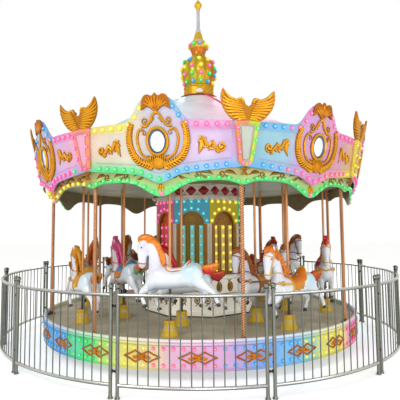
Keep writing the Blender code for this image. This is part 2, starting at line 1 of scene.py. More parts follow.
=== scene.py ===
"""Looks of the fairground carousel: every shown piece is a numpy surface or a CAD node with a paint of its own."""

import math

import bmesh
import bpy
import numpy as np
from mathutils import Matrix, Vector


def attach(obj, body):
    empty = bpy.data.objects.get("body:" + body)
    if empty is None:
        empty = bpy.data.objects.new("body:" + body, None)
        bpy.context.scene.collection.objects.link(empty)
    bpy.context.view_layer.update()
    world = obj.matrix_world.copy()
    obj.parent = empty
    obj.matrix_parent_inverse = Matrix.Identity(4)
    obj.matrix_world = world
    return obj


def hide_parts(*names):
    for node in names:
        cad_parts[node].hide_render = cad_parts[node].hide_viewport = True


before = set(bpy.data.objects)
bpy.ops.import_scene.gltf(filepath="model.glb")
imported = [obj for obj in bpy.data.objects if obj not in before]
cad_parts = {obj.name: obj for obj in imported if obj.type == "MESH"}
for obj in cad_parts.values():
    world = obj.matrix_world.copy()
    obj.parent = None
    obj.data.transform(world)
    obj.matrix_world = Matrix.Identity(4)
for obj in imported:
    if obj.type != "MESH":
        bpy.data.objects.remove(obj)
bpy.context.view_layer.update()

bl_info = {
    "name": "Fairground carousel",
    "version": (1, 0, 0),
    "blender": (4, 5, 0),
    "location": "3D View > Sidebar > Carousel",
    "description": "Builds the painted, lit and gilded pieces of a galloping-horse carousel",
    "category": "Add Mesh",
}

# Places taken from the CAD part, in metres and degrees
BAYS = 8
BAY = 360.0 / BAYS
BAY_TURNS = BAY * np.arange(BAYS)
POLE_ANGLE = 13.66
HORSE_ANGLE = POLE_ANGLE - BAY / 2
BAY_ANGLES = HORSE_ANGLE + BAY_TURNS
POLE_ANGLES = POLE_ANGLE + BAY_TURNS
FENCE_RING = 2.922
FENCE_PANELS = 12
DECK_TOP = 0.385
RIM_RADIUS = 2.365
POLE_RING = 2.285
OUTER_ROW = 1.95
INNER_ROW = 1.34
CRANK_THROW = 0.09
CEILING = 2.31
CANOPY_EDGE = 2.405
VALANCE_RADIUS = 2.343
BOARD_RADIUS = 2.5
BOARD_LEAN = 0.2
BOARD_THICKNESS = 0.022
BOARD_TOP = 2.8
ROOF_TOP = 3.79
SEAM_ANGLE = 21.0
FLAT = math.cos(math.pi / BAYS)  # distance of an eight-sided ring's faces, as a share of its corners' radius
DRUM_FACE, CORNICE_FACE, PLINTH_FACE = 0.7 * FLAT, 0.742 * FLAT, 0.84 * FLAT

TURNING = "turntable"
UP = np.array((0.0, 0.0, 1.0))
NEAR_WHITE = np.array((0.94, 0.92, 0.93))


def tone(code):
    """Linear colour of a paint setting's name or of six hex digits; a list gives a row for each, an array stays."""
    if isinstance(code, np.ndarray):
        return code
    if not isinstance(code, str):
        return np.array([tone(one) for one in code])
    if code in CarouselPaints.__annotations__:
        return np.array(getattr(bpy.context.scene.carousel_paints, code))
    parts = np.array([int(code[i : i + 2], 16) for i in (0, 2, 4)]) / 255
    return np.where(parts <= 0.04045, parts / 12.92, ((parts + 0.055) / 1.055) ** 2.4)


def mixed(first, second, share):
    """Two colours mixed: the first times one minus the share, plus the second times the share."""
    return tone(first) * (1 - share) + tone(second) * share


def pastel(colours, white):
    """Colours let down with a share of near-white."""
    return mixed(colours, NEAR_WHITE, white)


def length(name, description, default):
    """A size setting in metres."""
    return bpy.props.FloatProperty(name=name, description=description, default=default, min=0.0, unit="LENGTH")


def colour(name, description, red, green, blue):
    """A colour setting, linear."""
    return bpy.props.FloatVectorProperty(
        name=name, description=description, default=(red, green, blue), size=3, min=0.0, max=1.0, subtype="COLOR"
    )


class CarouselPaints(bpy.types.PropertyGroup):
    """Colours of the ride."""

    pink: colour("Pink lamps", "Lamp caps over pink panels", 0.95, 0.12, 0.34)
    blue: colour("Blue lamps", "Lamp caps over blue panels", 0.005, 0.36, 0.78)
    green: colour("Green lamps", "Lamp caps over green panels", 0.0, 0.72, 0.1)
    yellow: colour("Yellow lamps", "Lamp caps over yellow panels", 0.92, 0.78, 0.01)
    magenta: colour("Magenta lamps", "Lamp caps near the magenta panels", 0.95, 0.05, 0.32)
    gilt: colour("Gold leaf", "Scrolls, wreaths and wings", 0.7, 0.315, 0.01)
    pale_gilt: colour("Pale gold", "Turret and small frames", 0.66, 0.42, 0.02)
    boot: colour("Boot yellow", "Boots that the rods slide in", 0.7, 0.45, 0.004)
    copper: colour("Copper", "Twisted poles and rods", 0.62, 0.27, 0.1)
    ivory: colour("Horse white", "Bodies of the horses", 0.77, 0.81, 0.87)


class CarouselSizes(bpy.types.PropertyGroup):
    """Sizes of the ride's trim."""

    lamp_radius: length("Lamp radius", "Radius of a lamp cap's skirt", 0.021)
    lamp_pitch: length("Lamp pitch", "Distance between the lamps of a row", 0.111)
    rail_diameter: length("Rail diameter", "Diameter of the fence's two rails", 0.036)
    bar_diameter: length("Bar diameter", "Diameter of the fence's upright bars", 0.013)
    twist_pitch: length("Twist pitch", "Rise of one turn of a pole's twist", 0.08)
    camera_lens: bpy.props.FloatProperty(name="Lens", description="Focal length in mm", default=38.936, unit="CAMERA")


def sizes():
    """The size settings."""
    return bpy.context.scene.carousel_sizes


def around(radius, angle, height):
    """Points at a radius, at an angle in degrees that is 0 at the front and grows to the right, and at a height."""
    turn = np.radians(angle)
    return np.stack(np.broadcast_arrays(radius * np.sin(turn), -radius * np.cos(turn), height), -1)


def full_turn(count):
    """Even angles in radians round a full turn."""
    return np.arange(count) * 2 * np.pi / count


def unit(vectors):
    """Vectors divided by their lengths."""
    return vectors / np.maximum(np.linalg.norm(vectors, axis=-1, keepdims=True), 1e-9)


def left_of(along):
    """Directions in a plane turned a quarter to the left."""
    return np.stack([-along[:, 1], along[:, 0]], -1)


class Shape:
    """Points, the faces between them and a paint colour at each point, all as whole arrays."""

    def __init__(self, points, faces, paint=(1.0, 1.0, 1.0)):
        self.points = np.asarray(points, float)
        self.faces = faces
        self.paint = np.broadcast_to(np.asarray(paint, float), self.points.shape)

    def painted(self, paint):
        """The shape in one colour, or in a colour for each point."""
        return Shape(self.points, self.faces, tone(paint))

    def mapped(self, rule):
        """The shape with its points carried through a rule."""
        return Shape(rule(self.points), self.faces, self.paint)

    def moved(self, x=0.0, y=0.0, z=0.0):
        """The shape shifted by x, y and z."""
        return self.mapped(lambda p: p + np.array((x, y, z)))

    def mirror_x(self):
        """The shape's mirror image across x = 0."""
        return self.mapped(lambda p: p * np.array((-1.0, 1.0, 1.0)))

    def spun(self, angle):
        """The shape turned in its own x-y plane by degrees."""
        turn = math.radians(angle)
        c, s = math.cos(turn), math.sin(turn)
        return self.mapped(lambda p: p @ np.array(((c, s, 0), (-s, c, 0), (0, 0, 1))))

    def repeated(self, angles):
        """A copy turned about the upright axis for each angle: each point times each turn's matrix."""
        turns = np.radians(np.asarray(angles, float))
        c, s, o = np.cos(turns), np.sin(turns), np.zeros(len(turns))
        matrices = np.stack([c, s, o, -s, c, o, o, o, o + 1], -1).reshape(-1, 3, 3)
        return self._copies(np.einsum("nk,akj->anj", self.points, matrices), self.paint[None])

    def studded(self, places, outward, paints=1.0):
        """A copy at each place, its z along the outward direction there, in each place's paint."""
        outward = np.broadcast_to(outward, places.shape)
        side = unit(np.cross(outward, (0.3, 0.2, 0.93)))
        frames = np.stack([side, np.cross(outward, side), outward], 1)
        points = np.einsum("nk,akj->anj", self.points, frames) + places[:, None]
        return self._copies(points, self.paint[None] * np.broadcast_to(paints, places.shape)[:, None])

    def _copies(self, points, paints):
        """One shape from the points of every copy, each copy's faces counted on from those before it."""
        count, size = points.shape[:2]
        paints = np.broadcast_to(paints, points.shape).reshape(-1, 3)
        faces = [(f[None] + np.arange(count)[:, None, None] * size).reshape(-1, f.shape[1]) for f in self.faces]
        return Shape(points.reshape(-1, 3), faces, paints)


def joined(*shapes):
    """One shape from several, each one's faces counted on from the points before it."""
    flat = [s for group in shapes for s in (group if isinstance(group, (list, tuple)) else [group])]
    starts = np.cumsum([0] + [len(s.points) for s in flat])
    faces = [f + start for s, start in zip(flat, starts) for f in s.faces]
    return Shape(np.concatenate([s.points for s in flat]), faces, np.concatenate([s.paint for s in flat]))


def sheet(points, rows_close=False, columns_close=False):
    """A grid of points as a shape: each point joined to the next along both directions, round again where it closes."""
    rows, columns = points.shape[:2]
    i, j = np.meshgrid(np.arange(rows - 1 + rows_close), np.arange(columns - 1 + columns_close), indexing="ij")
    k, m = (i + 1) % rows, (j + 1) % columns
    corners = (i * columns + j, k * columns + j, k * columns + m, i * columns + m)
    return Shape(points.reshape(-1, 3), [np.stack(corners, -1).reshape(-1, 4)])


def tube(rings, closed=False):
    """Rings of points joined along a path; open ends are drawn in to their own middle points, which closes them."""
    if not closed:
        first, last = rings[:1].mean(1, keepdims=True), rings[-1:].mean(1, keepdims=True)
        rings = np.concatenate([np.repeat(first, rings.shape[1], 1), rings, np.repeat(last, rings.shape[1], 1)])
    return sheet(rings, closed, True)


def lathe(profile, sides, ripple=None):
    """A profile of (radius, height) turned about the upright axis; ripple scales the radius by angle and row."""
    profile = np.asarray(profile, float)
    angle = np.arange(sides) * 360.0 / sides
    radius = profile[:, :1] * np.ones((1, sides))
    if ripple is not None:
        radius = radius * ripple(angle[None, :], np.linspace(0, 1, len(profile))[:, None])
    return tube(around(radius, angle[None, :], profile[:, 1:]))


def hoop(profile, angles, closed=True):
    """A closed profile of (radius, height) carried round the upright axis."""
    profile = np.asarray(profile, float)
    rings = around(profile[None, :, 0], np.asarray(angles)[:, None], profile[None, :, 1])
    return tube(rings, closed)


def smoothed(stations, count, closed=False):
    """Points on a curve through the stations: a cubic on each span, its end slopes half the gap of the neighbours."""
    p = np.asarray(stations, float)
    size = len(p)
    spans = size if closed else size - 1
    t = np.linspace(0, spans, count, endpoint=not closed)
    i = np.minimum(t.astype(int), spans - 1)
    t = (t - i)[:, None]
    pick = (lambda k: p[k % size]) if closed else (lambda k: p[np.clip(k, 0, size - 1)])
    a, b, c, d = pick(i - 1), pick(i), pick(i + 1), pick(i + 2)
    return 0.5 * (2 * b + (c - a) * t + (2 * a - 5 * b + 4 * c - d) * t**2 + (3 * b - a - 3 * c + d) * t**3)


def rope(path, width, height, sides=8, closed=False):
    """A raised line on a flat ground: along the path in x-y a half-sunk oval section stands up in z."""
    path = np.asarray(path, float)
    along = np.roll(path, -1, 0) - np.roll(path, 1, 0) if closed else np.gradient(path, axis=0)
    across = unit(left_of(along))
    turn = full_turn(sides)
    width, height = (np.broadcast_to(v, len(path))[:, None] for v in (width, height))
    flat = path[:, None] + across[:, None] * (0.5 * width * np.cos(turn))[..., None]
    rise = height * np.maximum(np.sin(turn), -0.4)
    return tube(np.concatenate([flat, rise[..., None]], -1), closed)


def leaf(start, end, width, height, bend=0.0, steps=9):
    """A pointed leaf: a raised line whose width swells as a sine from stalk to tip, its path bowed sideways."""
    t = np.linspace(0, 1, steps)[:, None]
    start, end = np.asarray(start, float), np.asarray(end, float)
    side = np.array((start[1] - end[1], end[0] - start[0]))
    path = start + (end - start) * t + side * bend * np.sin(np.pi * t)
    swell = np.sin(np.pi * np.clip(t[:, 0], 0.04, 0.97) ** 0.8)
    return rope(path, width * swell, height * (0.35 + 0.65 * swell), 6)


def curl(centre, radius, start, turns, width, height, steps=28):
    """A scroll: a raised line on a spiral whose radius falls evenly to a fifth while it thickens."""
    t = np.linspace(0, 1, steps)
    turn = np.radians(start) + 2 * np.pi * turns * t
    reach = radius * (1 - 0.8 * t)
    path = np.stack([centre[0] + reach * np.cos(turn), centre[1] + reach * np.sin(turn)], -1)
    return rope(path, width * (0.55 + 0.45 * t), height * (0.6 + 0.4 * t), 6)


def oval_path(centre, half_wide, half_high, steps=40):
    """Points round an ellipse."""
    turn = full_turn(steps)
    return np.stack([centre[0] + half_wide * np.cos(turn), centre[1] + half_high * np.sin(turn)], -1)


def oval_rope(centre, half_wide, half_high, width, height, steps, sides=6):
    """A raised line round an ellipse."""
    return rope(oval_path(centre, half_wide, half_high, steps), width, height, sides, True)


def boss(centre, half_wide, half_high, height, sides=24, rows=6):
    """A flat-backed dome on an oval foot: the height falls off as the square root of one minus the reach squared."""
    reach = np.linspace(0, 1, rows)[:, None]
    turn = full_turn(sides)
    x, y = centre[0] + reach * half_wide * np.cos(turn), centre[1] + reach * half_high * np.sin(turn)
    top = np.stack([x, y, height * np.sqrt(1 - reach**2) * np.ones((1, sides))], -1)
    under = top[::-1] * (1, 1, 0) - (0, 0, 0.25 * height)
    return sheet(np.concatenate([top, under]), False, True)


def mirrored(*shapes):
    """Shapes and their mirror images across x = 0."""
    one = joined(*shapes)
    return joined(one, one.mirror_x())


def board_face(height):
    """Outer radius of the leaning boards at a height."""
    return CANOPY_EDGE + BOARD_LEAN * (height - CEILING) + BOARD_THICKNESS


def on_board(angle):
    """Rule that lays flat x, height, rise on the face of the leaning boards, centred at an angle."""
    return lambda p: around(board_face(p[:, 1]) + p[:, 2], angle + np.degrees(p[:, 0] / BOARD_RADIUS), p[:, 1])


def on_ring(angle, radius):
    """Rule that lays flat x, height, rise on an upright ring, centred at an angle."""
    return lambda p: around(radius + p[:, 2], angle + np.degrees(p[:, 0] / radius), p[:, 1])


def on_face(angle, distance):
    """Rule that stands flat x, height, rise on a flat upright face at a distance from the axis."""
    out, side = around(1.0, angle, 0.0), around(1.0, angle + 90, 0.0)
    return lambda p: (distance + p[:, 2:]) * out + p[:, :1] * side + p[:, 1:2] * UP


def lamps(places, outward, paints, radius=0.0):
    """Bulbs at places, facing outward: a round skirt in each place's paint and a cap let down with near-white."""
    radius = radius or sizes().lamp_radius
    outward, paints = unit(np.broadcast_to(outward, places.shape)), tone(paints)
    skirt = lathe(np.array(((0.95, -0.15), (1.04, 0.2), (0.92, 0.5), (0.5, 0.62))) * radius, 8)
    cap = lathe(np.array(((0.5, 0.5), (0.5, 0.8), (0.36, 1.0), (0.1, 1.12))) * radius, 8)
    return joined(skirt.studded(places, outward, paints * 0.85), cap.studded(places, outward, pastel(paints, 0.3)))


def outline_shape(outline, low, high):
    """A slab between two depths whose rim follows a closed outline in x-y and whose faces fan in to its middle."""
    outline = np.asarray(outline, float)
    middle = outline.mean(0)
    rows = []
    for share, depth in ((0, low), (0.5, low), (1, low), (1, high), (0.5, high), (0, high)):
        flat = middle + (outline - middle) * share
        rows.append(np.concatenate([flat, np.full((len(flat), 1), depth)], 1))
    return sheet(np.stack(rows), False, True)


def closed_mesh(name, shape):
    """A mesh of a shape and its paint, doubles merged and faces turned outward."""
    mesh = bpy.data.meshes.new(name)
    mesh.from_pydata(shape.points, [], [f for group in shape.faces for f in group.tolist()])
    paint = mesh.attributes.new("paint", "FLOAT_COLOR", "POINT")
    paint.data.foreach_set("color", np.concatenate([shape.paint, np.ones((len(shape.points), 1))], 1).ravel())
    edit = bmesh.new()
    edit.from_mesh(mesh)
    bmesh.ops.remove_doubles(edit, verts=edit.verts, dist=1e-5)
    bmesh.ops.recalc_face_normals(edit, faces=edit.faces)
    edit.to_mesh(mesh)
    edit.free()
    return mesh


def piece(name, shapes, paint, body=TURNING, smooth=45, replaces=()):
    """A shown mesh in a finish, with edges sharp above an angle in degrees, riding on a body."""
    mesh = closed_mesh(name, joined(shapes))
    mesh.shade_smooth()
    mesh.set_sharp_from_angle(angle=math.radians(smooth))
    mesh.materials.append(finish(paint))
    made = bpy.data.objects.new(name, mesh)
    bpy.context.scene.collection.objects.link(made)
    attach(made, body)
    if replaces:
        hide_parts(*replaces)


# Paints and metals


class Value:
    """A socket; arithmetic on it adds Math nodes."""

    def __init__(self, nodes, socket):
        self.nodes = nodes
        self.socket = socket

    def worked(self, operation, first, second):
        """A Math node of two values or numbers."""
        return self.nodes.node("ShaderNodeMath", {"operation": operation}, {0: first, 1: second})

    def __add__(self, other):
        return self.worked("ADD", self, other)

    def __sub__(self, other):
        return self.worked("SUBTRACT", self, other)

    def __rsub__(self, other):
        return self.worked("SUBTRACT", other, self)

    def __mul__(self, other):
        return self.worked("MULTIPLY", self, other)

    __radd__ = __add__
    __rmul__ = __mul__


class Nodes:
    """A node tree of a material or of the world."""

    def __init__(self, owner):
        owner.use_nodes = True
        self.tree = owner.node_tree

    def feed(self, socket, value):
        """Links a value to a socket, or sets the socket's own number or colour."""
        if isinstance(value, Value):
            self.tree.links.new(value.socket, socket)
        elif socket.type == "RGBA":
            socket.default_value = (*value[:3], 1.0)
        else:
            socket.default_value = value

    def node(self, kind, settings=None, inputs=None, output=0):
        """A node of a type with its settings, then its sockets' values or links; a ramp's stops are (place, grey)."""
        made = self.tree.nodes.new(kind)
        for name, value in (settings or {}).items():
            if name == "stops":
                for index, (place, grey) in enumerate(value):
                    stop = made.color_ramp.elements[index] if index < 2 else made.color_ramp.elements.new(place)
                    stop.position, stop.color = place, (grey, grey, grey, 1)
            else:
                setattr(made, name, value)
        for name, value in (inputs or {}).items():
            self.feed(made.inputs[name], value)
        return Value(self, made.outputs[output])


class Finish(Nodes):
    """A material and the few kinds of node that the finishes share."""

    def __init__(self, name, **constants):
        super().__init__(bpy.data.materials.new(name))
        self.shader = self.tree.nodes["Principled BSDF"]
        self.set(constants)
        self.place = self.node("ShaderNodeTexCoord", output="Object")

    def set(self, values):
        """Sets or links the Principled sockets named by their words joined with underscores."""
        for name, value in values.items():
            self.feed(self.shader.inputs[name.replace("_", " ")], value)

    def noise(self, scale, detail=3.0, stretch=None):
        """A noise value on Object coordinates, which are stretched first where asked."""
        place = self.place
        if stretch:
            place = self.node("ShaderNodeVectorMath", {"operation": "MULTIPLY"}, {0: place, 1: stretch})
        return self.node("ShaderNodeTexNoise", {}, {"Vector": place, "Scale": scale, "Detail": detail})

    def ramp(self, value, low, high):
        """0 below low, 1 above high, even between."""
        return self.node("ShaderNodeValToRGB", {"stops": ((low, 0.0), (high, 1.0))}, {0: value})

    def mix(self, factor, first, second, blend="MIX"):
        """A colour between two."""
        inputs = {0: factor, 6: first, 7: second}
        return self.node("ShaderNodeMix", {"data_type": "RGBA", "blend_type": blend}, inputs, 2)

    def paint(self):
        """The colour kept at each point of the mesh."""
        return self.node("ShaderNodeAttribute", {"attribute_name": "paint"}, output="Color")

    def bump(self, height, strength, distance):
        """A normal bent by a height."""
        inputs = {"Height": height, "Strength": strength, "Distance": distance}
        return self.node("ShaderNodeBump", {}, inputs)


def glossy(name, roughness=0.36, coat=0.15, metallic=0.0, mottling=0.35, speck=70.0):
    """Brushed-on gloss paint: colour from the mesh, soft cloudy wear, fine orange-peel bumps and uneven gloss."""
    made = Finish(name, Metallic=metallic, Coat_Weight=coat, Coat_Roughness=0.15)
    cloud = made.ramp(made.noise(4.5, 5.0), 0.35, 0.75)
    grain = made.noise(speck)
    made.set({"Base_Color": made.mix(cloud * mottling, made.paint(), tone("c4bdb4"), "MULTIPLY")})
    made.set({"Roughness": grain * 0.14 + (roughness - 0.07), "Normal": made.bump(grain, 0.18, 0.002)})


def gilded(name):
    """Gold leaf over red-brown size: leaf colour from the mesh, rubbed through in patches, with a beaten surface."""
    made = Finish(name, Coat_Weight=0.06, Coat_Roughness=0.2, Specular_IOR_Level=0.3)
    rubbed = made.ramp(made.noise(38.0, 4.0), 0.52, 0.78)
    beaten = made.noise(120.0, 2.0)
    made.set({"Base_Color": made.mix(rubbed * 0.6, made.paint(), tone("8a4606")), "Metallic": 0.5 - rubbed * 0.3})
    made.set({"Roughness": rubbed * 0.2 + beaten * 0.16 + 0.28, "Normal": made.bump(beaten, 0.35, 0.002)})


def lit(name, strength):
    """Coloured lamp caps: the mesh colour both reflects and glows, a little unevenly."""
    made = Finish(name, Roughness=0.4, Specular_IOR_Level=0.15, Emission_Strength=strength)
    glow = made.mix(made.noise(25.0) * 0.06, made.paint(), (1.0, 1.0, 1.0))
    made.set({"Base_Color": glow, "Emission_Color": glow})


def polished(name):
    """Polished metal in the mesh colour: drawn streaks change its gloss, and a thin film dulls it in patches."""
    made = Finish(name, Metallic=1.0)
    streaks = made.noise(160.0, 2.0, (1.0, 1.0, 0.04))
    film = made.ramp(made.noise(3.0, 4.0), 0.45, 0.8)
    made.set({"Base_Color": made.mix(film * 0.3, made.paint(), tone("55544c"))})
    made.set({"Roughness": streaks * 0.12 + film * 0.12 + 0.18, "Normal": made.bump(streaks, 0.08, 0.001)})


def trodden(name, colour, worn):
    """Ribbed floor sheet: small raised ribs, blotches of dust and a worn sheen."""
    made = Finish(name, Coat_Weight=0.15)
    dust = made.ramp(made.noise(2.6, 6.0), 0.35, 0.7)
    grit = made.noise(55.0, 4.0)
    waves = {"Vector": made.place, "Scale": 14.0, "Distortion": 0.4}
    ribs = made.node("ShaderNodeTexWave", {"bands_direction": "DIAGONAL"}, waves)
    made.set({"Base_Color": made.mix(dust * 0.7 + grit * 0.2, tone(colour), tone(worn))})
    made.set({"Roughness": 0.62 - dust * 0.22, "Normal": made.bump(ribs * 0.6 + grit * 0.4, 0.25, 0.003)})


def plain_paint(name, colour, shade, roughness, glow=0.0):
    """Paint of one colour shaded in clouds towards a second, with a light grit; a glow makes it give off its own
    colour, which on the plinth is painted light.
    """
    made = Finish(name, Coat_Weight=0.1, Emission_Color=tone(colour), Emission_Strength=glow)
    cloud = made.ramp(made.noise(3.2, 6.0), 0.3, 0.72)
    grit = made.noise(48.0)
    made.set({"Base_Color": made.mix(cloud * 0.75, tone(colour), tone(shade))})
    made.set({"Roughness": grit * 0.2 + (roughness - 0.1), "Normal": made.bump(grit, 0.2, 0.003)})


def hair(name):
    """Carved and painted hair: long strands of lighter and darker paint over the mesh colour."""
    made = Finish(name, Coat_Weight=0.15, Coat_Roughness=0.2, Specular_IOR_Level=0.3)
    strands = made.noise(34.0, 4.0)
    dark = made.mix(made.ramp(strands, 0.4, 0.62) * 0.45, made.paint(), tone("8a4a22"), "MULTIPLY")
    made.set({"Base_Color": dark, "Roughness": strands * 0.2 + 0.24, "Normal": made.bump(strands, 0.5, 0.004)})


def mirror_painted_reflection(name):
    """Silvered glass shown by a painted reflection: a near-white colour stands in for the bright room it mirrors, with
    a faint haze.
    """
    made = Finish(name, Metallic=0.35)
    haze = made.ramp(made.noise(14.0), 0.5, 0.9)
    made.set({"Base_Color": made.mix(haze, tone("fdfeff"), tone("eef4f7")), "Roughness": haze * 0.1 + 0.18})


FINISHES = {
    "gloss": (glossy, {}),
    "satin": (glossy, {"roughness": 0.45, "coat": 0.08, "mottling": 0.5}),
    "ivory": (glossy, {"roughness": 0.3, "coat": 0.3, "mottling": 0.2, "speck": 45.0}),
    "copper": (glossy, {"roughness": 0.3, "coat": 0.2, "metallic": 0.4, "mottling": 0.45}),
    "gold": (gilded, {}),
    "lamp": (lit, {"strength": 0.16}),
    "glow": (lit, {"strength": 0.75}),
    "steel": (polished, {}),
    # The mirror's near-white colour is a painted reflection.
    "mirror": (mirror_painted_reflection, {}),
    "hair": (hair, {}),
    "floor": (trodden, {"colour": "9a927e", "worn": "c4bca4"}),
    "frame": (plain_paint, {"colour": "3c4043", "shade": "23272a", "roughness": 0.6}),
    "recess": (plain_paint, {"colour": "8f6a22", "shade": "5d3f12", "roughness": 0.42}),
    # The plinth's glow is painted light: its pale paint gives off light though it is no lamp.
    "plinth": (plain_paint, {"colour": "f2eee2", "shade": "e0dac8", "roughness": 0.4, "glow": 0.26}),
    "cornice": (plain_paint, {"colour": "cfc4ae", "shade": "b3a27c", "roughness": 0.4}),
    "ceiling": (plain_paint, {"colour": "87835a", "shade": "5f5b38", "roughness": 0.55}),
    "stage": (plain_paint, {"colour": "f6f9ff", "shade": "f2f6fd", "roughness": 0.95, "glow": 0.44}),
}


def finish(name):
    """A finish by its short name, made on first use."""
    key = "finish_" + name
    if key not in bpy.data.materials:
        maker, settings = FINISHES[name]
        maker(key, **settings)
    return bpy.data.materials[key]


def dress(node, name):
    """Gives a CAD node a finish."""
    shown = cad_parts[node]
    shown.data.materials.clear()
    shown.data.materials.append(finish(name))


# Colours that change round the ride: (angle in degrees, colour) from the left, the unseen back carrying on the turn
ROUND_COLOURS = (
    (-68.0, "blue"), (-47.0, "blue"), (-36.0, "green"), (-20.5, "yellow"), (-2.0, "pink"), (18.0, "blue"),
    (42.0, "yellow"), (60.0, "magenta"), (83.0, "blue"), (105.0, "green"), (128.0, "yellow"), (151.0, "pink"),
    (173.0, "blue"), (196.0, "yellow"), (218.0, "magenta"), (240.0, "green"), (266.0, "yellow"))
RIM_PAINTS = (
    (-68.0, "1c9ff0"), (-45.0, "189ff0"), (-38.0, "22d8a0"), (-32.0, "2ae07c"), (-25.0, "a8e468"), (-19.0, "e4dc62"),
    (-11.0, "e6d69c"), (-5.0, "dcaacf"), (8.0, "d8a2d4"), (12.5, "ab9cdc"), (17.0, "6ca4ea"), (28.0, "5cb4f2"),
    (34.0, "8cd0c8"), (40.0, "e6e454"), (50.0, "e8dc60"), (57.0, "ee74ba"), (70.0, "e870c0"), (83.0, "40a8f0"),
    (105.0, "3adc84"), (128.0, "e4dc62"), (151.0, "dca4d0"), (173.0, "5cb0f2"), (196.0, "e6dc60"), (218.0, "ec74ba"),
    (240.0, "34dc80"), (266.0, "e4dc60"), (280.0, "70bce8"))


def stop_gaps(angle, stops):
    """Distance in degrees, round the ring, from each angle to each stop."""
    return np.abs((np.asarray(angle)[:, None] - np.array([s[0] for s in stops]) + 180.0) % 360.0 - 180.0)


def nearest_colour(angle, stops):
    """Colour of the stop whose angle is closest, for each angle."""
    return tone([s[1] for s in stops])[stop_gaps(angle, stops).argmin(1)]


def blended_colour(gaps, stops, softness):
    """Colours of the stops mixed by weights that fall off as a steep exponential of the distance to each."""
    weights = np.exp(-(gaps - gaps.min(1, keepdims=True)) / softness)
    return (weights / weights.sum(1, keepdims=True)) @ tone([s[1] for s in stops])


def angle_of(points):
    """Angle in degrees of points round the axis, as around() counts it."""
    return np.degrees(np.arctan2(points[:, 0], -points[:, 1]))


def ring_lamps(radius, height, stops):
    """A whole ring of bulbs at even pitch, facing outward."""
    count = round(2 * np.pi * radius / sizes().lamp_pitch)
    angles = 360.0 * np.arange(count) / count
    return lamps(around(radius, angles, height), around(1.0, angles, 0.0), nearest_colour(angles, stops))


STAGE_SPAN = 60.0
# Name, place, size and power of the lights
LIGHTS = (
    ("key", (-6.0, -9.0, 8.0), 3.5, 470.0),
    ("fill", (8.0, -7.0, 4.0), 5.0, 170.0),
    ("front", (1.0, -10.0, 1.7), 3.0, 150.0),
    ("back", (1.0, 10.0, 9.0), 5.0, 250.0),
)
SOFT_LIGHT, SOFT_STRENGTH = (1.0, 0.965, 0.86), 0.66
CAMERA_PLACE = (0.2109, -7.0849, 1.5836)
CAMERA_TURNS = (("Z", 1.647), ("X", 94.353), ("Z", -0.446))


def build_stage(scene):
    """A pale floor, soft lights and a camera at the photograph's place; the backdrop is lighter than its light."""
    scene.view_settings.view_transform = "Standard"
    corners = np.array(((-1, -1, 0), (1, -1, 0), (1, 1, 0), (-1, 1, 0))) * STAGE_SPAN
    mesh = bpy.data.meshes.new("floor")
    mesh.from_pydata(corners, [], [(0, 1, 2, 3)])
    mesh.materials.append(finish("stage"))
    floor = bpy.data.objects.new("floor", mesh)
    scene.collection.objects.link(floor)
    scene.world = bpy.data.worlds.new("studio")
    world = Nodes(scene.world)
    world.tree.nodes.remove(world.tree.nodes["Background"])
    soft = world.node("ShaderNodeBackground", {}, {"Color": SOFT_LIGHT, "Strength": SOFT_STRENGTH})
    backdrop = world.node("ShaderNodeBackground", {}, {"Color": (1.0, 1.0, 1.0)})
    seen = world.node("ShaderNodeLightPath", output="Is Camera Ray")
    blend = world.node("ShaderNodeMixShader", {}, {0: seen, 1: soft, 2: backdrop})
    world.feed(world.tree.nodes["World Output"].inputs["Surface"], blend)
    for name, place, size, power in LIGHTS:
        light = bpy.data.lights.new(name, "AREA")
        light.size, light.energy = size, power
        holder = bpy.data.objects.new(name, light)
        scene.collection.objects.link(holder)
        holder.location = place
        aim = Vector((0.0, 0.0, 2.0)) - Vector(place)
        holder.rotation_euler = aim.to_track_quat("-Z", "Y").to_euler()
    camera = bpy.data.objects.new("camera", bpy.data.cameras.new("camera"))
    camera.data.lens = sizes().camera_lens
    camera.data.sensor_width = 36.0
    camera.location = CAMERA_PLACE
    pose = Matrix.Identity(3)
    for axis, degrees in CAMERA_TURNS:
        pose = pose @ Matrix.Rotation(math.radians(degrees), 3, axis)
    camera.rotation_euler = pose.to_euler()
    scene.collection.objects.link(camera)
    scene.camera = camera


RAIL_HEIGHTS = (0.13, 0.985)
POST_PROFILE = ((0.027, 0.0), (0.027, 0.012), (0.021, 0.02), (0.0185, 0.034), (0.0185, 1.006), (0.019, 1.018),
                (0.026, 1.038), (0.0275, 1.044), (0.02, 1.0475))


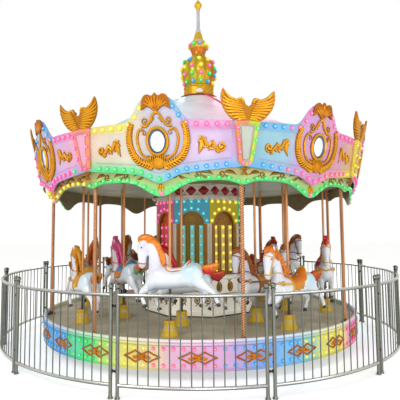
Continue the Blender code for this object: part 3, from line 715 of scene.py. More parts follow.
def fence_panel():
    """One panel at the front: flared posts with cups and balls, arced rails painted with a highlight on top and shade
    below, bars and bolted spacers.
    """
    post_gap, ball_radius, bars = 0.075, 0.029, 13
    reach = 180.0 / FENCE_PANELS - math.degrees(post_gap / 2 / FENCE_RING)
    ball = np.radians(np.linspace(-52, 88, 9))
    ball = np.c_[ball_radius * np.cos(ball), 1.071 + ball_radius * np.sin(ball)]
    post = lathe(np.r_[POST_PROFILE, ball], 16).painted("7a7c74")
    shapes = [post.moved(*around(FENCE_RING, side * reach, 0.0)[:2]) for side in (-1, 1)]
    half, turn = sizes().rail_diameter / 2, full_turn(12)
    for height in RAIL_HEIGHTS:
        section = np.c_[FENCE_RING + half * np.cos(turn), height + half * np.sin(turn)]
        rail = hoop(section, np.linspace(-reach, reach, 17), False)
        # Painted light: each rail runs from dark painted shade underneath to a near-white painted highlight on top.
        upper = np.clip((rail.points[:, 2:] - height) / half * 0.9 + 0.35, 0, 1)
        shapes.append(rail.painted(mixed("4c524f", "fbfcfb", upper)))
    angles = -reach + 2 * reach * np.arange(1, bars + 1) / (bars + 1)
    bar = lathe([(sizes().bar_diameter / 2, height) for height in RAIL_HEIGHTS], 8)
    shapes.append(bar.studded(around(FENCE_RING, angles, 0.0), UP, tone("696b64")))
    along = around(1.0, 180.0 / FENCE_PANELS + 90.0, 0.0)
    spacer = lathe(((0.011, 0.0), (0.011, 0.035)), 10)
    nut = lathe(((0.015, 0.0), (0.016, 0.003), (0.016, 0.009), (0.009, 0.012)), 6)
    for height in (0.26, 0.88):
        start = around(FENCE_RING, reach, height)[None]
        for fitting, offset, way in ((spacer, 0.02, 1), (nut, 0.017, 1), (nut, 0.057, -1)):
            shapes.append(fitting.studded(start + along * offset, way * along, tone("3a3b38")))
    return joined(shapes)


def build_fence():
    """Equal panels all round."""
    panel = fence_panel()
    for i in range(FENCE_PANELS):
        node = f"fence_panel_{i + 1:02d}"
        turned = panel.repeated([360.0 / FENCE_PANELS * i])
        piece(f"{node}_tubes", turned, "steel", "base", replaces=[node])


BOOT_PROFILE = ((0.108, 0.001), (0.108, 0.014), (0.1, 0.026), (0.094, 0.034), (0.09, 0.06), (0.082, 0.08),
                (0.074, 0.092), (0.071, 0.13), (0.069, 0.15), (0.073, 0.158), (0.073, 0.17), (0.066, 0.183),
                (0.0215, 0.183), (0.0215, 0.001))


def build_deck():
    """Floor, hidden frame, and the yellow boots with their darker necks."""
    dress("base_frame", "frame")
    dress("deck", "floor")
    boot = hoop(np.array(BOOT_PROFILE) + (0, DECK_TOP), np.arange(24) * 15.0)
    reach = np.hypot(boot.points[:, :1], boot.points[:, 1:2])
    neck = (boot.points[:, 2:] > DECK_TOP + 0.15) & (reach < 0.07)
    boot = boot.painted(np.where(neck, tone("b5741a"), tone("boot")))
    places = around(np.repeat([OUTER_ROW, INNER_ROW], BAYS), np.tile(BAY_ANGLES, 2), 0.0)
    piece("rod_boots", boot.studded(places, UP), "satin")


RIM_PROFILE = ((2.34, 0.108), (2.366, 0.106), (2.372, 0.112), (2.372, 0.124), (2.366, 0.131), (2.365, 0.15),
               (2.365, 0.369), (2.37, 0.372), (2.37, 0.379), (2.365, 0.382), (2.365, 0.402), (2.37, 0.405),
               (2.37, 0.411), (2.366, 0.414), (2.374, 0.42), (2.376, 0.434), (2.37, 0.443), (2.35, 0.445),
               (2.34, 0.44))


def build_rim():
    """Rim board in its round of pastels, with a pale lip, two beads, two rows of bulbs and interlaced diamonds."""
    skirt = hoop(RIM_PROFILE, np.arange(240) * 1.5)
    hue = blended_colour(stop_gaps(angle_of(skirt.points), RIM_PAINTS), RIM_PAINTS, softness=1.6)
    height = skirt.points[:, 2:]
    white = np.where(height > 0.416, 0.62, np.where(height > 0.383, 0.36, 0.06))
    bead = (np.abs(height - 0.3755) < 0.0045) | (np.abs(height - 0.408) < 0.0045)
    hue = pastel(hue, white) * np.where(bead, 0.62, np.where(height < 0.15, 0.82, 1.0))
    piece("rim_board", skirt.painted(hue), "gloss", replaces=["rim_skirt"])
    rows = [ring_lamps(RIM_RADIUS, height, ROUND_COLOURS) for height in (0.344, 0.17)]
    piece("rim_lamps", rows, "lamp")
    middle = 0.252
    corners = np.array(((-0.135, 0), (0, 0.06), (0.135, 0), (0, -0.06)))
    sides = zip(corners, np.roll(corners, -1, 0))
    path = np.concatenate([np.linspace(start, end, 5, endpoint=False) for start, end in sides])
    path = path * (1 - 0.08 * np.sin(np.linspace(0, 4 * np.pi, 20, endpoint=False)) ** 2)[:, None]
    diamonds = [rope(path + (x, middle), 0.02, 0.014, 6, True) for x in (-0.075, 0.075)]
    knots = [rope(path * (0.42, 0.36) + (x, middle), 0.014, 0.016, 6, True) for x in (-0.028, 0.028)]
    for side in (-1, 1):
        for rise in (-0.02, 0.02):
            tip = (side * 0.045, middle + rise)
            knots.append(leaf((side * 0.11, middle), tip, 0.018, 0.01, 0.2 * side, 6))
    ornament = joined(joined(diamonds).painted("b8640e"), joined(knots).painted("e08a1a"))
    ornament = ornament.mapped(on_ring(0.95, 2.366)).repeated(15.0 * np.arange(24))
    piece("rim_diamonds", ornament, "gold")


# Four faces of the drum in turn: lamps, spandrels, lamp strips, recess, bands and ribs; the other four repeat them
DRUM_PAINTS = (
    ("10b4bc", "48b0cc", "a0ead8", "8e6a08", "b5761a", "b08a1c"),
    ("yellow", "cab81c", "f2dc8c", "a0680a", "b5761a", "b08a1c"),
    ("green", "4cb45c", "b4f0ac", "70701c", "b5761a", "b08a1c"),
    ("magenta", "e6689c", "f4667a", "f8542a", "e0701e", "f07828"),
)


def slab(low, high, back, front):
    """A flat slab whose section from low to high edge, given as (x, height) rows, is carried along x."""
    edges = ((low, back), (high, back), (high, front), (low, front))
    return tube(np.stack([np.c_[edge, np.full(len(edge), depth)] for edge, depth in edges], 1))


def upright(left, right, low, high, back, front):
    """A slab between two x and two heights."""
    return slab(((left, low), (right, low)), ((left, high), (right, high)), back, front)


def drum_face(face):
    """One face of the drum: spandrels round an arch, pale posts, ribbed recess with lamp strips, and its bulbs."""
    half, inner, outer = 0.185, 0.236, 0.267
    base, foot, spring, top = 0.957, 1.01, 1.72, 2.108
    columns = (-0.136, 0, 0.136)
    bulb_paint, paint, strip_paint, recess_paint, band_paint, rib_paint = DRUM_PAINTS[face % 4]
    x = np.r_[-outer, np.linspace(-half, half, 31), outer]
    low, level = spring + np.sqrt(np.maximum(0, half**2 - x**2)), np.ones(33)
    spandrel = slab(np.c_[x, low], np.c_[x, top * level], -0.002, 0.007)
    posts = [upright(*edges, base, spring, -0.002, 0.009) for edges in ((-outer, -inner), (inner, outer))]
    bands = [upright(*edges, base, spring, -0.002, 0.005) for edges in ((-inner, -half), (half, inner))]
    bands += [rope(((p, 0.97), (p, 1.3), (p, spring - 0.01)), 0.022, 0.016).moved(z=0.004) for p in (-0.21, 0.21)]
    recess = slab(np.c_[x, foot * level][1:-1], np.c_[x, low][1:-1], -0.062, -0.052)
    ribs = [rope(((p, foot), (p, 1.4), (p, spring + 0.02)), 0.026, 0.026) for p in (-0.172, -0.068, 0.068, 0.172)]
    ribs.append(oval_rope((0, spring + 0.075), 0.05, 0.035, 0.014, 0.012, 20))
    strips = [upright(p - 0.03, p + 0.03, foot, 1.7, -0.056, -0.028) for p in columns]
    sweep = np.linspace(0.1, 3.04, 19)
    arch = np.c_[-half * np.cos(sweep), spring + half * np.sin(sweep)]
    trim = rope(np.r_[((-half, foot), (-half, spring)), arch, ((half, spring), (half, foot))], 0.02, 0.016, 6)
    body = joined(
        spandrel.painted(paint), joined(posts).painted("dcd8c8"), joined(bands).painted(band_paint),
        recess.painted(recess_paint), joined(ribs).moved(z=-0.052).painted(rib_paint),
        joined(strips).painted(strip_paint), trim.painted("a07416"),
        rope(((-0.262, 0.97), (0.262, 0.97)), 0.024, 0.018).painted("a07416"))
    spots = [(x, 2.053, 0.007) for x in np.linspace(-0.225, 0.225, 5)]
    for turn in np.radians((12, 40, 65, 90, 115, 140, 168)):
        spots.append((0.235 * math.cos(turn), spring + 0.235 * math.sin(turn), 0.007))
    spots += [(x, z, -0.028) for x in columns for z in 1.668 - 0.13 * np.arange(6)]
    lift = on_face(BAY_ANGLES[face], DRUM_FACE)
    glow = lamps(lift(np.array(spots)), around(1.0, BAY_ANGLES[face], 0.0), bulb_paint, 0.025)
    return body.mapped(lift), glow


def build_drum():
    """Drum faces, faceted cornice and the ornaments of the plinth."""
    dress("drum", "recess")
    dress("drum_plinth", "plinth")
    dress("drum_cornice", "cornice")
    bodies, glow = zip(*[drum_face(face) for face in range(BAYS)])
    piece("drum_faces", bodies, "satin")
    piece("drum_lamps", glow, "glow")
    red = [boss((x, 2.212), 0.094, 0.088, 0.045, 4, 2) for x in (-0.19, 0, 0.19)]
    silver = [boss((x, z), 0.075, 0.06, 0.03, 4, 2) for x in (-0.285, -0.095, 0.095, 0.285) for z in (2.285, 2.139)]
    swag = np.array(((-0.055, 2.112), (-0.03, 2.082), (0, 2.074), (0.03, 2.082), (0.055, 2.112)))
    swags = [rope(smoothed(swag + (x, 0), 12), 0.012, 0.01, 6) for x in np.linspace(-0.22, 0.22, 5)]
    drops = [boss((x, 2.108), 0.05, 0.032, 0.014, 12, 3) for x in np.linspace(-0.22, 0.22, 5)]
    facets = joined(joined(red).painted("8a0418"), joined(silver).painted("b9b2ae"),
                    joined(swags, drops).painted("cfcbc8").moved(z=-0.03)).mapped(on_face(HORSE_ANGLE, CORNICE_FACE))
    piece("cornice_facets", facets.repeated(BAY_TURNS), "gloss", smooth=12)
    shapes = []
    for x in (-0.2, 0.0, 0.2):
        shapes += [oval_rope((x, 0.8), 0.04, 0.07, 0.018, 0.014, 20), boss((x, 0.8), 0.028, 0.056, 0.016, 12, 4)]
        shapes += [leaf((x, 0.885), (x + side, 0.91), 0.022, 0.014, 0.2, 6) for side in (-0.042, 0.042)]
    for x in (-0.25, -0.1, 0.1, 0.25):
        shapes += [oval_rope((x, 0.615), 0.036, 0.042, 0.018, 0.012, 16), boss((x, 0.615), 0.02, 0.024, 0.014, 12, 3)]
        shapes += [leaf((x, 0.57), (x + side, 0.535), 0.018, 0.01, 0.2, 6) for side in (-0.035, 0.035)]
    shapes.append(rope(((-0.31, 0.7), (0.31, 0.7)), 0.012, 0.008, 6))
    plinth = joined(shapes).painted("9a7418").mapped(on_face(HORSE_ANGLE, PLINTH_FACE))
    piece("plinth_ornaments", plinth.repeated(BAY_TURNS), "gold")
    foot = hoop(((0.885, 0.386), (0.885, 0.398), (0.86, 0.4), (0.86, 0.386)), POLE_ANGLES)
    piece("plinth_foot", foot.painted("33302b"), "gloss")


def build_poles():
    """Poles with a three-start twist: the radius follows a raised cosine of the angle less the height's turns; the same
    wave paints a highlight on the crests and shade in the grooves.
    """
    sides = 15
    height = np.linspace(0.39, 2.305, 330)[:, None]
    angle = np.arange(sides)[None, :] * 360.0 / sides
    wave = (0.5 + 0.5 * np.cos(3 * (np.radians(angle) - 2 * np.pi * height / sizes().twist_pitch))) ** 1.4
    # Painted light: the wave also colours the twist, a pale painted highlight on its crests and dark painted shade in
    # its grooves.
    crest = np.r_[np.zeros(sides), wave.ravel(), np.zeros(sides)][:, None]
    pole = tube(around(0.0185 + 0.0075 * wave, angle, height)).painted(mixed("6c3018", "fab478", crest))
    places = around(POLE_RING, POLE_ANGLES, 0.0)
    for i, place in enumerate(places):
        node = f"twisted_pole_{i + 1}"
        piece(f"{node}_twist", pole.moved(*place), "copper", replaces=[node])
    foot = lathe(((0.05, 0.385), (0.05, 0.4), (0.044, 0.408), (0.03, 0.412), (0.028, 0.43)), 20).painted("1c1b1a")
    cup = lathe(((0.028, 2.27), (0.036, 2.285), (0.045, 2.295), (0.045, 2.31)), 20).painted("8a5a20")
    piece("pole_flanges", [foot.studded(places, UP), cup.studded(places, UP)], "gloss")


def folded(angle):
    """Angle in the four-bay pattern of board colours, counted from the pole left of the visible ones."""
    return (np.asarray(angle) - (POLE_ANGLE - 2 * BAY)) % 360.0 % (4 * BAY)


# Paints along the four-bay pattern, in degrees from its start: band under the top edge, field, and foot of the boards
BOARD_BAND = (
    (2, "44b4e8"), (15, "4cb8ea"), (27, "78b4ea"), (33, "ea92d2"), (43, "ea8acb"), (47, "eddb86"), (58, "eadf84"),
    (63, "dcdcae"), (67, "a8cce8"), (72, "7cbce0"), (78, "ea94d2"), (89, "ec90cc"), (92, "54bce4"), (102, "70bce4"),
    (109, "ea92d2"), (133, "ec90c8"), (138, "ee60b8"), (155, "e878c8"), (178, "54b4e8"))
BOARD_FIELD = (
    (2, "8cccee"), (20, "aed6f2"), (30, "dcb8e0"), (43, "eaa8d2"), (47, "e8d8be"), (60, "e4d8c4"), (68, "cccade"),
    (78, "d4b8dc"), (89, "dcaae0"), (92, "84cedc"), (100, "96cadc"), (108, "dca6de"), (118, "de9cc0"),
    (134, "e4b48a"), (140, "ecb0d4"), (160, "dcbce6"), (178, "a4d0f0"))
BOARD_FOOT = (
    (2, "e678c4"), (20, "ea84c8"), (36, "d896dc"), (43, "b0a8e8"), (47, "54e88e"), (60, "5ae894"), (66, "80dec8"),
    (72, "74c4ea"), (88, "78b8f0"), (92, "64bcee"), (102, "9cbcea"), (110, "e492cc"), (122, "eca4a4"),
    (129, "f0da30"), (134, "f0da30"), (139, "ec70bc"), (160, "dc8cd8"), (178, "e678c4"))
# Bulbs along the same pattern: each colour from its angle on
HIGH_LAMPS = ((0, "blue"), (30, "pink"), (45, "yellow"), (66.5, "blue"), (74, "pink"), (90, "blue"), (101.5, "pink"),
              (135, "magenta"), (160, "blue"))
LOW_LAMPS = ((0, "magenta"), (39, "green"), (68, "blue"), (102, "pink"), (128, "yellow"), (135, "magenta"))
VALANCE_LAMPS = ((0, "yellow"), (43, "green"))
BIG_LAMP = 0.026


def zoned(angle, zones):
    """Colour of the zone that each angle falls in, in the folded pattern."""
    found = np.searchsorted([z[0] for z in zones], folded(angle), "right") - 1
    return tone([z[1] for z in zones])[found]


def from_mid_bay(angle):
    """Distance from the middle of a bay: 0 there, and 1 at its poles."""
    return np.abs(((np.asarray(angle) - POLE_ANGLE) % BAY) / BAY - 0.5) * 2


def board_edges(angle):
    """Lower and upper edge of the boards: straight falls to a raised cosine tongue, and a steep bell crest above."""
    middle = from_mid_bay(angle)
    tongue = 0.5 + 0.5 * np.cos(np.pi * np.minimum(1, middle / 0.3))
    return CEILING - 0.105 * (1 - middle) - 0.07 * tongue, BOARD_TOP + 0.26 * np.exp(-((middle / 0.27) ** 4))


def valance_hem(angle):
    """Lower edge of the valance: a bell tongue at mid-bay and a small one at the pole."""
    middle = from_mid_bay(angle)
    return 2.165 - 0.175 * np.exp(-((middle / 0.26) ** 2)) - 0.045 * np.exp(-(((1 - middle) / 0.12) ** 2))


def evenly(path, pitch):
    """Points at an even distance along a polyline, half a pitch in from its ends."""
    steps = np.r_[0, np.cumsum(np.linalg.norm(np.diff(path, axis=0), axis=1))]
    count = max(1, round(steps[-1] / pitch))
    marks = (np.arange(count) + 0.5) * steps[-1] / count
    return np.stack([np.interp(marks, steps, path[:, k]) for k in range(path.shape[1])], -1)


# Section of the valance: radius, and height as a share from its hem to its top
VALANCE_ROWS = ((2.325, 1.0), (2.343, 1.0), (2.343, 0.7), (2.343, 0.4), (2.345, 0.12), (2.349, 0.04), (2.343, 0.0),
                (2.325, 0.0))


def build_canopy():
    """Ceiling, scalloped valance with its bulbs, scrolls under the boards and a gold drop on each tongue."""
    dress("ceiling", "ceiling")
    top, outer_wall = 2.309, 2.33
    angles = POLE_ANGLE + np.arange(BAYS * 48) * BAY / 48
    hem = valance_hem(angles)
    rings = np.stack([around(radius, angles, hem + (top - hem) * share) for radius, share in VALANCE_ROWS], 1)
    radii, shares = np.tile(VALANCE_ROWS, (len(angles), 1)).T[..., None]
    dull = (folded(np.repeat(angles, len(VALANCE_ROWS)))[:, None] < BAY) * 0.7
    hue = mixed(mixed("3cd676", "c4bc7e", np.clip(shares * 1.7, 0, 1)), "b07434", dull)
    board = tube(rings, True).painted(np.where(radii < outer_wall, tone("786a42"), hue))
    piece("valance_board", board, "gloss", replaces=["valance"])
    metres = np.c_[np.radians(angles) * VALANCE_RADIUS, hem + 0.03]
    spots = evenly(np.r_[metres, metres[:1] + (2 * np.pi * VALANCE_RADIUS, 0)], 0.112)
    where = np.degrees(spots[:, 0] / VALANCE_RADIUS)
    tips = np.abs((where - HORSE_ANGLE + BAY / 2) % BAY - BAY / 2) < 1.5
    paints = np.where(tips[:, None], tone("pink"), zoned(where, VALANCE_LAMPS))
    glow = lamps(around(VALANCE_RADIUS + 0.002, where, spots[:, 1]), around(1.0, where, 0.0), paints, BIG_LAMP)
    piece("valance_lamps", glow, "lamp")
    drop = [leaf((x, 2.14 - abs(x)), (x * 2.6, 2.035 + abs(x)), 0.026, 0.018, 4 * x) for x in (-0.014, 0.0, 0.014)]
    drop.append(boss((0, 2.145), 0.02, 0.016, 0.016, 12, 4))
    scroll = []
    for x in (0.16, 0.42, 0.68):
        scroll += [curl((x, 2.235), 0.042, 200, 1.3, 0.022, 0.012, 20),
                   leaf((x + 0.03, 2.255), (x + 0.17, 2.225), 0.044, 0.012, 0.15),
                   leaf((x + 0.04, 2.225), (x + 0.13, 2.195), 0.032, 0.01, -0.15)]
    trim = joined(joined(drop).painted("gilt"), mirrored(*scroll).painted("84601c"))
    trim = trim.mapped(on_ring(HORSE_ANGLE, VALANCE_RADIUS)).repeated(BAY_TURNS)
    piece("valance_scrolls", trim, "gold")


def board_paint(points):
    """Paint of the boards: the field fades into the foot, with the band above, each blended along the pattern."""
    where, height = angle_of(points), points[:, 2]
    low, high = board_edges(where)
    paints = []
    for stops in (BOARD_BAND, BOARD_FIELD, BOARD_FOOT):
        gaps = np.abs(folded(where)[:, None] - np.array([s[0] for s in stops]))
        paints.append(blended_colour(gaps, stops, softness=1.8))
    band, field, foot = paints
    band_share = np.clip((height - high + 0.105) / 0.01, 0, 1)[:, None]
    foot_share = np.clip(1.15 - (height - low) / 0.14, 0, 1)[:, None]
    return mixed(mixed(field, foot, foot_share), band, band_share) * 0.78


def build_boards():
    """Leaning boards: a section with a rolled foot and a bead under its top, carried between the two edges."""
    depth = [0.0, 0.006, 0.024] + [0.022] * 10 + [0.028, 0.022, 0.022, 0.024, 0.012, 0.0]
    for i, pole in enumerate(POLE_ANGLES):
        angles = pole + np.linspace(-3.6, 41.38, 73)
        low, high = board_edges(angles)
        heights = [low + step for step in (0.004, 0.0, 0.004, 0.02, 0.06)]
        heights += [low + (high - low) * share for share in np.linspace(0.2, 0.72, 7)]
        heights += [high - step for step in (0.11, 0.1, 0.085, 0.02, 0.004, 0.0, 0.004)]
        rings = [around(board_face(z) - BOARD_THICKNESS + d, angles, z) for z, d in zip(heights, depth)]
        shape = tube(np.stack(rings, 1))
        node = f"rounding_board_{i + 1}"
        board = shape.painted(board_paint(shape.points))
        piece(f"{node}_panel", board, "gloss", replaces=[node])


def wreath():
    """Feathers in pairs along an arc from the bowl up to the tip, the outer ones longer, all smaller at the tip."""
    pairs = 24
    arc = ((0.06, 2.322), (0.14, 2.346), (0.232, 2.392), (0.284, 2.455), (0.314, 2.535), (0.322, 2.61), (0.312, 2.69),
           (0.29, 2.765))
    spine = smoothed(arc, pairs)
    along = unit(np.gradient(spine, axis=0))
    side = left_of(along)
    shapes = [rope(spine, 0.036, 0.022, 6)]
    for k in range(pairs):
        size = 0.07 - 0.026 * k / (pairs - 1)
        for way, share in ((-1, 1.08), (1, 0.72)):
            tip = spine[k] + (along[k] * 0.62 + side[k] * way * 0.74) * size * share
            shapes.append(leaf(spine[k], tip, 0.032, 0.03, 0.16 * way, 6))
    return joined(shapes)


# Paths on the cartouche's right half, in x and height
LYRE = ((0.165, 2.748), (0.13, 2.742), (0.095, 2.765), (0.065, 2.81), (0.034, 2.866), (0.0, 2.885))
C_SCROLL = ((0.15, 2.7), (0.19, 2.715), (0.226, 2.66), (0.23, 2.572), (0.2, 2.468), (0.145, 2.414),
            (0.075, 2.393))
ACANTHUS = ((0.462, 2.6), (0.492, 2.612), (0.525, 2.575), (0.56, 2.525), (0.605, 2.555), (0.645, 2.51),
            (0.68, 2.475))
# Centre, radius, start, turns, width and height of the curls
CARTOUCHE_CURLS = (
    ((0.13, 2.802), 0.038, -100, 1.3, 0.02, 0.02), ((0.15, 2.672), 0.03, 40, 1.2, 0.016, 0.016),
    ((0.11, 2.4), 0.036, 10, 1.2, 0.022, 0.02), ((0.705, 2.52), 0.05, 235, 1.35, 0.038, 0.026),
    ((0.535, 2.53), 0.036, 90, 1.2, 0.028, 0.022), ((0.612, 2.51), 0.034, 90, 1.2, 0.028, 0.022))
# Stalk, tip, width, height and bend of the leaves, and where it isn't nine, their number of steps
CARTOUCHE_LEAVES = (
    ((0.05, 2.79), (0.115, 2.735), 0.028, 0.016, 0.2), ((0.1, 2.335), (0.19, 2.325), 0.03, 0.016, 0.2),
    ((0.02, 2.83), (0.052, 2.775), 0.024, 0.016, 0.2), ((0, 2.885), (0.045, 2.922), 0.026, 0.018, 0.2),
    ((0.478, 2.612), (0.452, 2.437), 0.066, 0.02, 0.1, 7), ((0.505, 2.59), (0.478, 2.468), 0.052, 0.02, -0.08, 7),
    ((0.48, 2.6), (0.44, 2.56), 0.04, 0.02, 0.2, 7), ((0.53, 2.58), (0.54, 2.616), 0.028, 0.02, 0.2, 7),
    ((0.6, 2.55), (0.618, 2.586), 0.028, 0.02, 0.2, 7), ((0.65, 2.5), (0.694, 2.448), 0.036, 0.02, -0.2, 7),
    ((0.575, 2.52), (0.556, 2.472), 0.038, 0.02, 0.2, 7), ((0.724, 2.56), (0.756, 2.52), 0.03, 0.02, -0.2, 7))
MIRROR_CENTRE = (0, 2.579)


def cartouche():
    """Oval frame with the lyre arch, C-scrolls, fluted bowl, feather wreath and acanthus scrolls round it."""
    swell = 0.024 + 0.008 * np.sin(np.linspace(0, 3.14, 36))
    parts = [rope(smoothed(LYRE, 24), 0.03, 0.022), rope(smoothed(C_SCROLL, 36), swell, 0.022), wreath()]
    parts.append(rope(smoothed(ACANTHUS, 30), 0.036, 0.026))
    for x in (0.012, 0.034, 0.056, 0.074):
        parts.append(rope(((x, 2.425), (x * 1.08, 2.39), (x * 0.9, 2.33), (x * 0.5, 2.288)), 0.014, 0.038, 6))
    parts += [curl(*row) for row in CARTOUCHE_CURLS] + [leaf(*row) for row in CARTOUCHE_LEAVES]
    bowl = boss((0, 2.352), 0.086, 0.074, 0.03)
    finial = [leaf((0, 2.87), (0, 2.935), 0.036, 0.024), boss((0, 2.885), 0.026, 0.018, 0.024, 12, 4)]
    ring = oval_rope(MIRROR_CENTRE, 0.114, 0.144, 0.038, 0.032, 48, 8)
    return joined(mirrored(*parts), bowl, finial, ring)


CREST_EDGE = ((0.0, 2.898), (0.035, 2.932), (0.075, 2.95), (0.118, 2.944), (0.16, 2.914), (0.152, 2.975),
              (0.14, 3.032), (0.112, 3.066), (0.074, 3.072), (0.04, 3.056), (0.022, 3.066), (0.0, 3.088))


def both_halves(half):
    """A closed outline from its right half, which starts and may end on x = 0."""
    return half + tuple((-x, z) for x, z in half[:0:-1] if x > 0)


def crest():
    """Shell on the board's crest: a plate with a two-lobed top, flared ends and a pointed foot, ribs and curls."""
    plate = outline_shape(smoothed(both_halves(CREST_EDGE), 66, True), 0.004, 0.022)
    parts = [curl((0.12, 2.968), 0.03, 60, -1.2, 0.022, 0.024).moved(z=0.012)]
    leaves = [leaf((0.06, 2.942), (0.0, 2.902), 0.03, 0.018)]
    for x, z in ((0.034, 3.06), (0.072, 3.064), (0.108, 3.052), (0.132, 3.008)):
        leaves.append(leaf((x * 0.15, 2.935), (x, z), 0.036, 0.022, -0.08, 8))
    parts += [shape.moved(z=0.014) for shape in leaves]
    return joined(plate, mirrored(*parts), leaf((0, 2.93), (0, 3.084), 0.036, 0.026).moved(z=0.014))


def relief_with_painted_shade(shape, code, low, high):
    """A shape painted in one colour down to one height over its ground, and in red-brown below another, as painted
    shade in its grooves and edges.
    """
    # Painted shade: red-brown low in the grooves, the leaf colour on the raised tops.
    return shape.painted(mixed(code, "7e3a04", np.clip((high - shape.points[:, 2:]) / (high - low), 0, 1)))


def one_a_bay(name, shape):
    """A gold piece for each bay, the shape turned from the first one's place."""
    for i, turn in enumerate(BAY_TURNS):
        piece(f"{name}_{i + 1}", shape.repeated([turn]), "gold")


def build_board_ornaments():
    """Gold cartouches and crests, mirrors, lamp rows and beads of all eight boards."""
    lift = on_board(HORSE_ANGLE)
    gold = joined(relief_with_painted_shade(cartouche(), "gilt", 0.0, 0.018), relief_with_painted_shade(crest(), "d08412", 0.014, 0.032))
    one_a_bay("cartouche", gold.mapped(lift))
    bezel = oval_rope(MIRROR_CENTRE, 0.09, 0.119, 0.024, 0.022, 48, 8).painted("3c6074")
    glass = boss(MIRROR_CENTRE, 0.084, 0.112, 0.006, 40, 5).moved(z=0.004)
    piece("mirror_bezels", bezel.mapped(lift).repeated(BAY_TURNS), "gloss")
    piece("mirrors", glass.mapped(lift).repeated(BAY_TURNS), "mirror")
    glow, beads, shell_half = [], [], 0.165
    for pole in POLE_ANGLES:
        angles = pole + np.linspace(3.7, 41.3, 120)
        low, high = board_edges(angles)
        flat = np.radians(angles) * BOARD_RADIUS
        edge = np.c_[flat, high]
        inset = edge - 0.045 * left_of(unit(np.gradient(edge, axis=0)))
        left, right = flat < flat.mean() - shell_half, flat > flat.mean() + shell_half
        foot = np.c_[flat, low + 0.046]
        for path, zones in ((inset[left], HIGH_LAMPS), (inset[right], HIGH_LAMPS), (foot, LOW_LAMPS)):
            x, height = evenly(path, sizes().lamp_pitch).T
            angle = np.degrees(x / BOARD_RADIUS)
            places = around(board_face(height), angle, height)
            glow.append(lamps(places, around(1.0, angle, -0.2), zoned(angle, zones), BIG_LAMP))
        beads.append(rope(np.c_[flat, low + 0.105], 0.007, 0.004, 6))
    bead = joined(beads).painted("b48ab0").mapped(on_board(0.0))
    piece("board_beads", bead, "gloss")
    piece("board_lamps", glow, "lamp")


# For each pole: left and right bulbs, panel, left and right half of the border
PILASTER_PAINTS = (
    ("pink", "green", "c4ccc0", "e88a5c", "c2d83c"),
    ("yellow", "yellow", "dcc878", "e8cc3c", "e4c430"),
    ("pink", "blue", "bcd0e0", "e88a9c", "68b0d0"),
    ("yellow", "yellow", "dcc0b4", "e0a848", "e0b840"),
    ("green", "pink", "bcd6c0", "a8cc4c", "e07c8c"),
    ("yellow", "green", "d8cca0", "e0bc3c", "9cc850"),
    ("pink", "pink", "d0b8d8", "d878a0", "d878a0"),
    ("magenta", "pink", "f0a8c8", "f08a80", "f09060"),
)
# Right half of a pilaster; then a wing's edge and the tips of its feathers, counted up from the boards' top
PILASTER_SIDE = ((0.0, 2.312), (0.045, 2.316), (0.075, 2.35), (0.092, 2.44), (0.112, 2.58), (0.134, 2.72),
                 (0.143, 2.785), (0.07, 2.796))
WING_EDGE = ((0.0, -0.018), (0.12, -0.013), (0.178, 0.008), (0.232, 0.06), (0.276, 0.13), (0.298, 0.225),
             (0.28, 0.318), (0.252, 0.262), (0.215, 0.232), (0.15, 0.214), (0.09, 0.214), (0.045, 0.195),
             (0.03, 0.16), (0.0, 0.128))
FEATHER_TIPS = ((0.28, 0.322), (0.302, 0.255), (0.302, 0.205), (0.288, 0.148), (0.262, 0.095), (0.224, 0.05),
                (0.18, 0.01), (0.125, -0.01))


def wing():
    """One wing: a backing plate and nine feathers that run outward from its root and turn up to its trailing edge."""
    feathers = 9
    swell = np.sin(np.pi * np.linspace(0.06, 0.97, 12) ** 0.8)
    tips = smoothed(FEATHER_TIPS, feathers)
    roots = np.linspace((0.085, 0.186), (0.015, 0.012), feathers)
    shapes = [outline_shape(smoothed(WING_EDGE, 56, True), 0.008, 0.024)]
    for k, (root, tip) in enumerate(zip(roots, tips)):
        bent = root + (tip - root) * (0.62, 0.3 + 0.02 * k)
        feather = rope(smoothed((root, bent, tip), 12), 0.042 * swell, 0.012 + 0.018 * swell, 6)
        shapes.append(feather.moved(z=0.016))
    shapes.append(leaf((0.13, 0.21), (0.04, 0.165), 0.046, 0.032, -0.25, 8).moved(z=0.012))
    shapes.append(boss((0.065, 0.185), 0.024, 0.02, 0.034, 12, 4))
    return joined(shapes).moved(y=BOARD_TOP)


